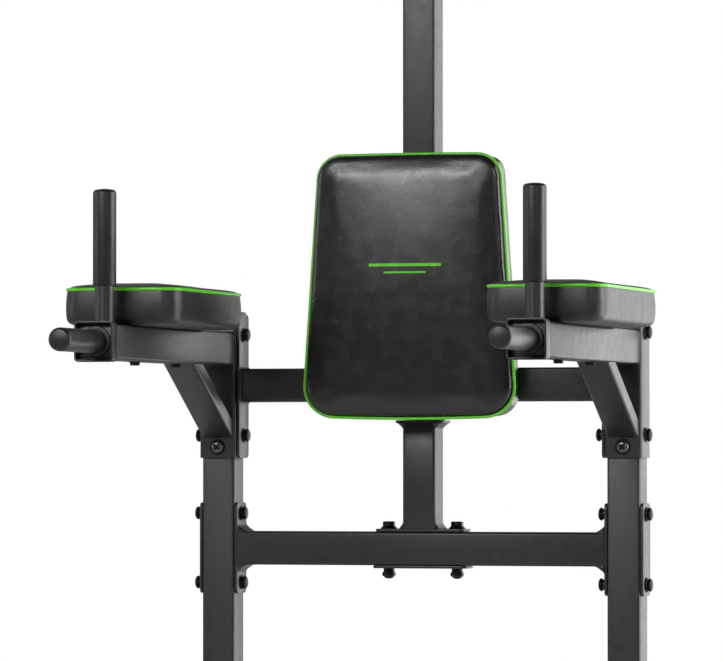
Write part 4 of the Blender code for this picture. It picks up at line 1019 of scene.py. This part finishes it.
def pad_outline(bottom, top, height, low_corner, high_corner, bow_low, bow_high, count=220):
    """Outline of a pad seen from its face: a trapezium with an arc of its own radius at each corner, its ends
    bowed out along a parabola, and its points spread evenly along it."""
    half = height / 2
    corners = [(bottom / 2, -half), (top / 2, half), (-top / 2, half), (-bottom / 2, -half)]
    radii = (low_corner, high_corner, high_corner, low_corner)
    pieces = []
    for i, radius in enumerate(radii):
        triple = [np.array((*corners[(i + k) % 4], 0.0)) for k in (-1, 0, 1)]
        pieces.append(bent_path(triple, radius, 0.002)[1:-1])
    loop = np.concatenate(pieces)[:, :2]
    loop = np.concatenate((loop, loop[:1]))
    run = np.concatenate(([0.0], np.cumsum(np.linalg.norm(np.diff(loop, axis=0), axis=1))))
    even = np.linspace(0.0, run[-1], count, endpoint=False)
    points = np.stack([np.interp(even, run, loop[:, k]) for k in (0, 1)], 1)
    across = np.clip(1 - (points[:, 0] / (bottom / 2 - low_corner / 2)) ** 2, 0, 1)
    at_end = np.abs(points[:, 1]) > 0.8 * half
    points[:, 1] += np.where(points[:, 1] < 0, -bow_low, bow_high) * across * at_end
    tangent = np.roll(points, -1, 0) - np.roll(points, 1, 0)
    tangent /= np.linalg.norm(tangent, axis=1)[:, None]
    return points, np.stack((tangent[:, 1], -tangent[:, 0]), 1)


def pad_form(outline, back_outline, back, seam, tuck, bulge, front, crown, slack):
    """A pad's closed form.  Its side runs from the board's outline to the seam's with a bulge that follows
    half a sine, and rolls under over a quarter circle at the board.  The front panel steps in from the seam
    by pairs of inset and height, and a little more towards its foot.  Inside that it is a pillow: the crown
    times one less the square of the height's share, times one less the square of the width's share at that
    height."""
    loop, normal = outline
    depth = seam - back
    share = np.array((0.0, 0.04, 0.10, 0.18, 0.30, 0.45, 0.60, 0.75, 0.88, 0.97))
    rolled = tuck * (1 - np.sqrt(1 - np.clip(1 - share * depth / tuck, 0, 1) ** 2))
    swell = bulge * np.sin(np.pi * share) ** 0.8
    flat = back_outline[0][None] * (1 - share[:, None, None]) + loop[None] * share[:, None, None]
    flat = flat + normal[None] * (swell - rolled)[:, None, None]
    side = np.concatenate((flat, np.repeat((back + depth * share)[:, None, None], len(loop), 1)), 2)
    insets, heights = np.array(front).T
    foot = np.clip(0.5 - loop[:, 1] / np.ptp(loop[:, 1]), 0.0, 1.0)
    rolled_in = skin(outline, seam + heights, insets[:, None] + slack * foot)
    shrink = np.linspace(1.0, 0.05, 24)[1:]
    rim = rolled_in[-1][:, :2]
    flat = rim[None] * shrink[:, None, None]
    tall = np.abs(rim[:, 1]).max()
    foot_half, head_half = np.abs(rim[rim[:, 1] < 0, 0]).max(), np.abs(rim[rim[:, 1] > 0.8 * tall, 0]).max()
    wide = foot_half + (head_half - foot_half) * (flat[..., 1] / tall + 1) / 2
    dome = (1 - np.clip(flat[..., 1] / tall, -1, 1) ** 2) * (1 - np.clip(flat[..., 0] / wide, -1, 1) ** 2)
    middle_part = np.concatenate((flat, (seam + heights[-1] + crown * dome)[..., None]), 2)
    return np.concatenate((side, rolled_in, middle_part))


def seam_distance(points, seam_line):
    """Distance from each point to the seam's line, and the run along the seam of its nearest point."""
    distance = np.full(len(points), 1e9)
    nearest = np.zeros(len(points), int)
    for start in range(0, len(points), 4000):
        block = points[start:start + 4000]
        gaps = np.linalg.norm(block[:, None] - seam_line[None], axis=2)
        distance[start:start + 4000] = gaps.min(1)
        nearest[start:start + 4000] = gaps.argmin(1)
    step = np.linalg.norm(np.roll(seam_line, -1, 0) - seam_line, axis=1)
    run = np.concatenate(([0.0], np.cumsum(step)[:-1]))
    return distance, run[nearest]


def get_points(mesh):
    """A mesh's points as an array."""
    flat = np.empty(len(mesh.vertices) * 3)
    mesh.vertices.foreach_get("co", flat)
    return flat.reshape(-1, 3)


def set_points(mesh, points):
    """Moves a mesh's points."""
    mesh.vertices.foreach_set("co", points.ravel())
    mesh.update()


def evened(mesh, move, rounds=12):
    """Evens out a field over a mesh: each point takes half of its own value and half of its neighbours' mean,
    over and over."""
    ends = np.empty(len(mesh.edges) * 2, int)
    mesh.edges.foreach_get("vertices", ends)
    first, second = ends[0::2], ends[1::2]
    count = np.bincount(ends, minlength=len(move))[:, None]
    for _ in range(rounds):
        total = np.zeros_like(move)
        np.add.at(total, first, move[second])
        np.add.at(total, second, move[first])
        move = 0.5 * move + 0.5 * total / count
    return move


def inflate(item, seam_line, board_axis, board_place, board_sign, voxel, cap):
    """Blows a pad up as cloth.  The seam and the face on the board are pinned, and no point moves further
    than the cap, or at all where it meets the seam."""
    mesh = item.data
    mesh.remesh_voxel_size = voxel
    with bpy.context.temp_override(object=item, active_object=item, selected_objects=[item]):
        bpy.ops.object.voxel_remesh()
    before = get_points(item.data)
    distance, run = seam_distance(before, seam_line)
    on_board = (before[:, board_axis] - board_place) * board_sign < 2 * voxel
    pins = item.vertex_groups.new(name="pins")
    pins.add(np.nonzero((distance < voxel) | on_board)[0].tolist(), 1.0, "REPLACE")
    cloth = item.modifiers.new("Cloth", "CLOTH")
    cloth.settings.vertex_group_mass = "pins"
    cloth.settings.use_pressure = True
    cloth.settings.uniform_pressure_force = 4.0
    cloth.settings.effector_weights.gravity = 0.0
    cloth.settings.quality = 4
    scene = bpy.context.scene
    for step in range(1, 21):
        scene.frame_set(step)
    evaluated = item.evaluated_get(bpy.context.evaluated_depsgraph_get())
    after = get_points(evaluated.to_mesh())
    evaluated.to_mesh_clear()
    item.modifiers.remove(cloth)
    scene.frame_set(1)
    move = evened(item.data, after - before)
    size = np.linalg.norm(move, axis=1)
    ease = np.clip((distance - 0.002) / 0.020, 0.0, 1.0)
    ease = ease * ease * (3 - 2 * ease) * ~on_board
    move *= (np.minimum(size, cap) / np.maximum(size, 1e-9) * ease)[:, None]
    settled = before + move
    normals = np.empty(len(settled) * 3)
    item.data.vertices.foreach_get("normal", normals)
    waver = 2.2 * np.sin(2 * np.pi * run / 0.071)
    pucker = np.sin(2 * np.pi * run / 0.013 + waver) * np.exp(-distance / 0.008)
    pucker *= np.clip(distance / 0.004, 0, 1) * (0.6 + 0.4 * np.sin(2 * np.pi * run / 0.19)) * ~on_board
    set_points(item.data, settled + normals.reshape(-1, 3) * pucker[:, None] * 0.00025)
    item.vertex_groups.clear()
    finer = item.modifiers.new("Subdivision", "SUBSURF")
    finer.levels = 1
    finer.render_levels = 1


def build_pad(name, outline, form, place, along, across, back, seam, cover, colours, sizes, cap):
    """A pad's cover and the piping in its seam."""
    third = np.cross(along, across)
    form = lay(form, place, along, across)
    points, faces = closed_surface(form)
    mesh = bpy.data.meshes.new(f"{name}_cover")
    mesh.from_pydata(points, [], faces)
    item = bpy.data.objects.new(f"{name}_cover", mesh)
    bpy.context.scene.collection.objects.link(item)
    loop = outline[0]
    line = np.asarray(place) + loop[:, :1] * across + loop[:, 1:] * third + np.asarray(along) * seam
    axis = int(np.argmax(np.abs(along)))
    board_place = (np.asarray(place) + np.asarray(along) * back)[axis]
    inflate(item, line, axis, board_place, float(np.sign(np.sum(along))), sizes.voxel, cap)
    item.data.materials.clear()
    item.data.materials.append(cover)
    item.data.shade_smooth()
    adopt(item, [name])
    radius = sizes.piping / 2
    welt = swept(circle_loop(radius, 16), line, np.asarray(along), closed=True)
    piece(f"{name}_piping", [], piping_vinyl(colours), loops=[welt], sharp=80.0)


def build_back_pad(sizes, colours):
    """The back pad with its board and its two brackets."""
    node_low, node_high = low("back_pad"), high("back_pad")
    height = node_high[2] - node_low[2]
    place = np.array((0.0, 0.0, middle("back_pad")[2]))
    back = -node_high[1]
    seam = back + 0.035
    outline = pad_outline(0.3265, 0.2755, height - 0.008, 0.043, 0.035, 0.0035, 0.0015)
    behind = pad_outline(0.3235, 0.2725, height - 0.011, 0.030, 0.022, 0.0035, 0.0015)
    front = ((0.0026, 0.0006), (0.0014, 0.0030), (0.0006, 0.0056), (0.0008, 0.0082), (0.0022, 0.0106),
             (0.0054, 0.0128), (0.0100, 0.0144), (0.0160, 0.0156), (0.0240, 0.0166))
    form = pad_form(outline, behind, back, seam, 0.004, 0.0010, front, 0.0080, 0.0022)
    build_pad("back_pad", outline, form, place, -BACK, RIGHT, back, seam, vinyl(colours, True), colours,
              sizes, 0.0015)
    board_outline = pad_outline(0.3115, 0.2605, height - 0.016, 0.035, 0.025, 0.0, 0.0)
    build_board("back_pad_board", board_outline, (0.0, 0.0, place[2]), -BACK, back, colours)
    for level in ("lower", "upper"):
        build_bracket(f"pad_bracket_{level}", powder_coat(colours))


def build_board(name, outline, place, along, back, colours, thick=0.009):
    """A plywood board with eased edges."""
    grid = skin(outline, (back, back + 0.0004, back + 0.0014, back + thick - 0.001, back + thick),
                (0.0012, 0.0004, 0.0, 0.0, 0.0008))
    piece(f"{name}_panel", [lay(grid, place, along, RIGHT)], birch_plywood(colours), [name])


def build_bracket(name, steel):
    """A folded channel: a web on the board and two flanges that reach back to the mast."""
    node_low, node_high = low(name), high(name)
    wide, _, tall = node_high - node_low
    wall, radius = 0.003, 0.0045
    z, y_web, y_back = middle(name)[2], node_low[1], node_high[1]
    outer = bent_path([(0.0, y_back, z - tall / 2), (0.0, y_web, z - tall / 2), (0.0, y_web, z + tall / 2),
                       (0.0, y_back, z + tall / 2)], radius)
    inner = bent_path([(0.0, y_back, z - tall / 2 + wall), (0.0, y_web + wall, z - tall / 2 + wall),
                       (0.0, y_web + wall, z + tall / 2 - wall), (0.0, y_back, z + tall / 2 - wall)],
                      radius - wall + 0.001)
    section = np.concatenate((outer, inner[::-1]))
    across = np.array((-wide / 2, -wide / 2 + 0.0004, wide / 2 - 0.0004, wide / 2))
    rings = section[None] + RIGHT * across[:, None, None]
    piece(f"{name}_channel", [rings], steel, [name])


def build_arm_pads(sizes, colours):
    """The forearm pads with their boards.  The left one sits 3 mm off its arm's middle and a degree askew."""
    for side, sign in SIDES.items():
        name = f"arm_pad_{side}"
        node_low, node_high = low(name), high(name)
        wide, long, _ = node_high - node_low
        place = (middle(name)[0] + (0.0030 if sign < 0 else 0.0), middle(name)[1], 0.0)
        turn = math.radians(1.1) if sign < 0 else 0.0
        across = np.array((math.cos(turn), math.sin(turn), 0.0))
        back = node_low[2]
        seam = back + 0.0505
        outline = pad_outline(wide - 0.0015, wide - 0.0015, long - 0.003, 0.027, 0.027, 0.001, 0.001)
        behind = pad_outline(wide - 0.003, wide - 0.003, long - 0.005, 0.022, 0.022, 0.001, 0.001)
        front = ((0.0006, 0.0004), (0.0010, 0.0016), (0.0028, 0.0032), (0.0060, 0.0046), (0.0110, 0.0058),
                 (0.0190, 0.0068))
        form = pad_form(outline, behind, back, seam, 0.010, 0.0024, front, 0.0022, 0.0)
        build_pad(name, outline, form, place, UP, across, back, seam, vinyl(colours), colours, sizes, 0.0022)
        board = pad_outline(wide - 0.044, wide - 0.044, long - 0.044, 0.010, 0.010, 0.0, 0.0)
        build_board(f"arm_pad_board_{side}", board, place, UP, back - 0.0006, colours)


# ---------------------------------------------------------------- stage

def build_stage(colours):
    """Floor, light and camera.  The floor glows a little in the camera's sight, so it stays pale far off."""
    scene = bpy.context.scene
    reach = 14.0
    angle = 2 * np.pi * np.arange(96) / 96
    ring = np.stack((np.cos(angle), np.sin(angle), np.zeros_like(angle)), 1)
    rings = ring[None] * np.array((0.5, 6.0, reach))[:, None, None]
    mesh = bpy.data.meshes.new("studio_floor")
    quads = grid_faces(3, 96, False).tolist()
    mesh.from_pydata(rings.reshape(-1, 3), [], quads + [list(range(96))])
    floor = bpy.data.objects.new("studio_floor", mesh)
    floor.location.z = -0.0005
    material = bpy.data.materials.new("painted_floor")
    material.use_nodes = True
    tree = material.node_tree
    where = node(tree, "ShaderNodeTexCoord").outputs["Object"]
    shader = tree.nodes["Principled BSDF"]
    shader.inputs["Roughness"].default_value = 0.75
    tree.links.new(mixed(tree, noise(tree, where, 1 / 0.9, 3.0), shade(colours.floor, 0.98),
                         shade(colours.floor, 1.0)), shader.inputs["Base Color"])
    seen = node(tree, "ShaderNodeLightPath").outputs["Is Camera Ray"]
    tree.links.new(math_node(tree, "MULTIPLY", seen, FLOOR_GLOW), shader.inputs["Emission Strength"])
    shader.inputs["Emission Color"].default_value = (1.0, 1.0, 1.0, 1.0)
    mesh.materials.append(material)
    scene.collection.objects.link(floor)
    scene.view_settings.view_transform = "Standard"
    build_world(scene)
    build_lights(scene)
    build_camera(scene)


def build_world(scene):
    """A white studio: dim all round, with a soft glow in front of the machine on its left, and a wide one on
    its left and behind it."""
    world = bpy.data.worlds.new("studio")
    scene.world = world
    world.use_nodes = True
    tree = world.node_tree
    background = tree.nodes["Background"]
    where = node(tree, "ShaderNodeTexCoord").outputs["Generated"]
    glow = AMBIENT_LIGHT
    for direction, edge, core, strength in GLOWS:
        facing = node(tree, "ShaderNodeVectorMath", {0: where, 1: direction}, operation="DOT_PRODUCT")
        screen = ranged(tree, facing.outputs["Value"], 0.0, strength, edge, core)
        glow = node(tree, "ShaderNodeMath", {0: screen, 1: glow}, operation="ADD").outputs[0]
    seen = node(tree, "ShaderNodeLightPath").outputs["Is Camera Ray"]
    shown = node(tree, "ShaderNodeMix", {0: seen, 2: glow, 3: 1.0}, data_type="FLOAT")
    tree.links.new(shown.outputs[0], background.inputs["Strength"])
    background.inputs["Color"].default_value = (1.0, 1.0, 1.0, 1.0)


def build_lights(scene):
    """Soft boxes: the key in front on the right, one over the front, a strip on each side, and a wide screen
    behind the machine on its right that glows on both faces."""
    target = Vector((0.0, 0.0, 1.15))
    for name, place, width, height, power, both_faces in SOFT_BOXES:
        light = bpy.data.lights.new(name, "AREA")
        light.shape = "RECTANGLE"
        light.size, light.size_y = width, height
        light.energy = power
        lamp = bpy.data.objects.new(name, light)
        lamp.location = place
        lamp.rotation_euler = (target - Vector(place)).to_track_quat("-Z", "Y").to_euler()
        lamp.visible_camera = False
        scene.collection.objects.link(lamp)
        if both_faces:
            rear = lamp.copy()
            rear.name = f"{name}_rear"
            rear.rotation_euler = (Vector(place) - target).to_track_quat("-Z", "Y").to_euler()
            scene.collection.objects.link(rear)


def build_camera(scene):
    """A long lens at chest height, a little to the machine's right."""
    azimuth, pitch = math.radians(16.0), math.radians(1.3366)
    distance, aside, height = 7.940, 0.0915, 1.0115
    data = bpy.data.cameras.new("camera")
    data.sensor_width = 36.0
    data.lens = 265.7
    data.clip_end = 100.0
    camera = bpy.data.objects.new("camera", data)
    camera.location = (distance * math.sin(azimuth) - aside * math.cos(azimuth),
                       FRAME_Y - distance * math.cos(azimuth) - aside * math.sin(azimuth), height)
    camera.rotation_euler = (math.pi / 2 + pitch, 0.0, azimuth)
    scene.collection.objects.link(camera)
    scene.camera = camera


# ---------------------------------------------------------------- add-on

class TowerOperator:
    """Shared settings of the tower's operators."""
    bl_options = {"REGISTER", "UNDO"}

    def settings(self, context):
        return context.scene.tower_sizes, context.scene.tower_colours


class POWERTOWER_OT_stage(TowerOperator, bpy.types.Operator):
    """Add the floor, the lights and the camera"""
    bl_idname = "power_tower.stage"
    bl_label = "Stage"

    def execute(self, context):
        build_stage(context.scene.tower_colours)
        return {"FINISHED"}


class POWERTOWER_OT_base(TowerOperator, bpy.types.Operator):
    """Add the rails, the stabiliser, the struts, the shoes and the push-up handles"""
    bl_idname = "power_tower.base"
    bl_label = "Base"

    def execute(self, context):
        build_base(*self.settings(context))
        return {"FINISHED"}


class POWERTOWER_OT_frame(TowerOperator, bpy.types.Operator):
    """Add the uprights, the crossbeams, the masts and their plates"""
    bl_idname = "power_tower.frame"
    bl_label = "Frame"

    def execute(self, context):
        build_frame(*self.settings(context))
        return {"FINISHED"}


class POWERTOWER_OT_arms(TowerOperator, bpy.types.Operator):
    """Add the dip arms with their handles, grips and plugs"""
    bl_idname = "power_tower.arms"
    bl_label = "Dip arms"

    def execute(self, context):
        build_arms(*self.settings(context))
        return {"FINISHED"}


class POWERTOWER_OT_pull_up(TowerOperator, bpy.types.Operator):
    """Add the pull-up bar, its arm and its grips"""
    bl_idname = "power_tower.pull_up"
    bl_label = "Pull-up bar"

    def execute(self, context):
        build_pull_up(*self.settings(context))
        return {"FINISHED"}


class POWERTOWER_OT_fasteners(TowerOperator, bpy.types.Operator):
    """Add the bolts, nuts and screws"""
    bl_idname = "power_tower.fasteners"
    bl_label = "Fasteners"

    def execute(self, context):
        build_fasteners(context.scene.tower_colours)
        return {"FINISHED"}


class POWERTOWER_OT_back_pad(TowerOperator, bpy.types.Operator):
    """Add the back pad with its piping, board and brackets"""
    bl_idname = "power_tower.back_pad"
    bl_label = "Back pad"

    def execute(self, context):
        build_back_pad(*self.settings(context))
        return {"FINISHED"}


class POWERTOWER_OT_arm_pads(TowerOperator, bpy.types.Operator):
    """Add the forearm pads with their piping and boards"""
    bl_idname = "power_tower.arm_pads"
    bl_label = "Forearm pads"

    def execute(self, context):
        build_arm_pads(*self.settings(context))
        return {"FINISHED"}


OPERATORS = (POWERTOWER_OT_stage, POWERTOWER_OT_base, POWERTOWER_OT_frame, POWERTOWER_OT_arms,
             POWERTOWER_OT_pull_up, POWERTOWER_OT_fasteners, POWERTOWER_OT_back_pad, POWERTOWER_OT_arm_pads)


class POWERTOWER_PT_panel(bpy.types.Panel):
    """The tower's steps and settings"""
    bl_label = "Power tower"
    bl_idname = "POWERTOWER_PT_panel"
    bl_space_type = "VIEW_3D"
    bl_region_type = "UI"
    bl_category = "Power tower"

    def draw(self, context):
        for operator in OPERATORS:
            self.layout.operator(operator.bl_idname)
        for group in (context.scene.tower_sizes, context.scene.tower_colours):
            for key in group.__annotations__:
                self.layout.prop(group, key)


CLASSES = (TowerSizes, TowerColours, *OPERATORS, POWERTOWER_PT_panel)


def register():
    """Adds the classes and their settings to Blender."""
    for item in CLASSES:
        bpy.utils.register_class(item)
    bpy.types.Scene.tower_sizes = PointerProperty(type=TowerSizes)
    bpy.types.Scene.tower_colours = PointerProperty(type=TowerColours)


def unregister():
    """Takes the classes and their settings away again."""
    del bpy.types.Scene.tower_colours
    del bpy.types.Scene.tower_sizes
    for item in reversed(CLASSES):
        bpy.utils.unregister_class(item)


def main():
    """Builds every piece in turn."""
    register()
    bpy.ops.power_tower.stage()
    bpy.ops.power_tower.base()
    bpy.ops.power_tower.frame()
    bpy.ops.power_tower.arms()
    bpy.ops.power_tower.pull_up()
    bpy.ops.power_tower.fasteners()
    bpy.ops.power_tower.back_pad()
    bpy.ops.power_tower.arm_pads()


if __name__ == "__main__":
    main()
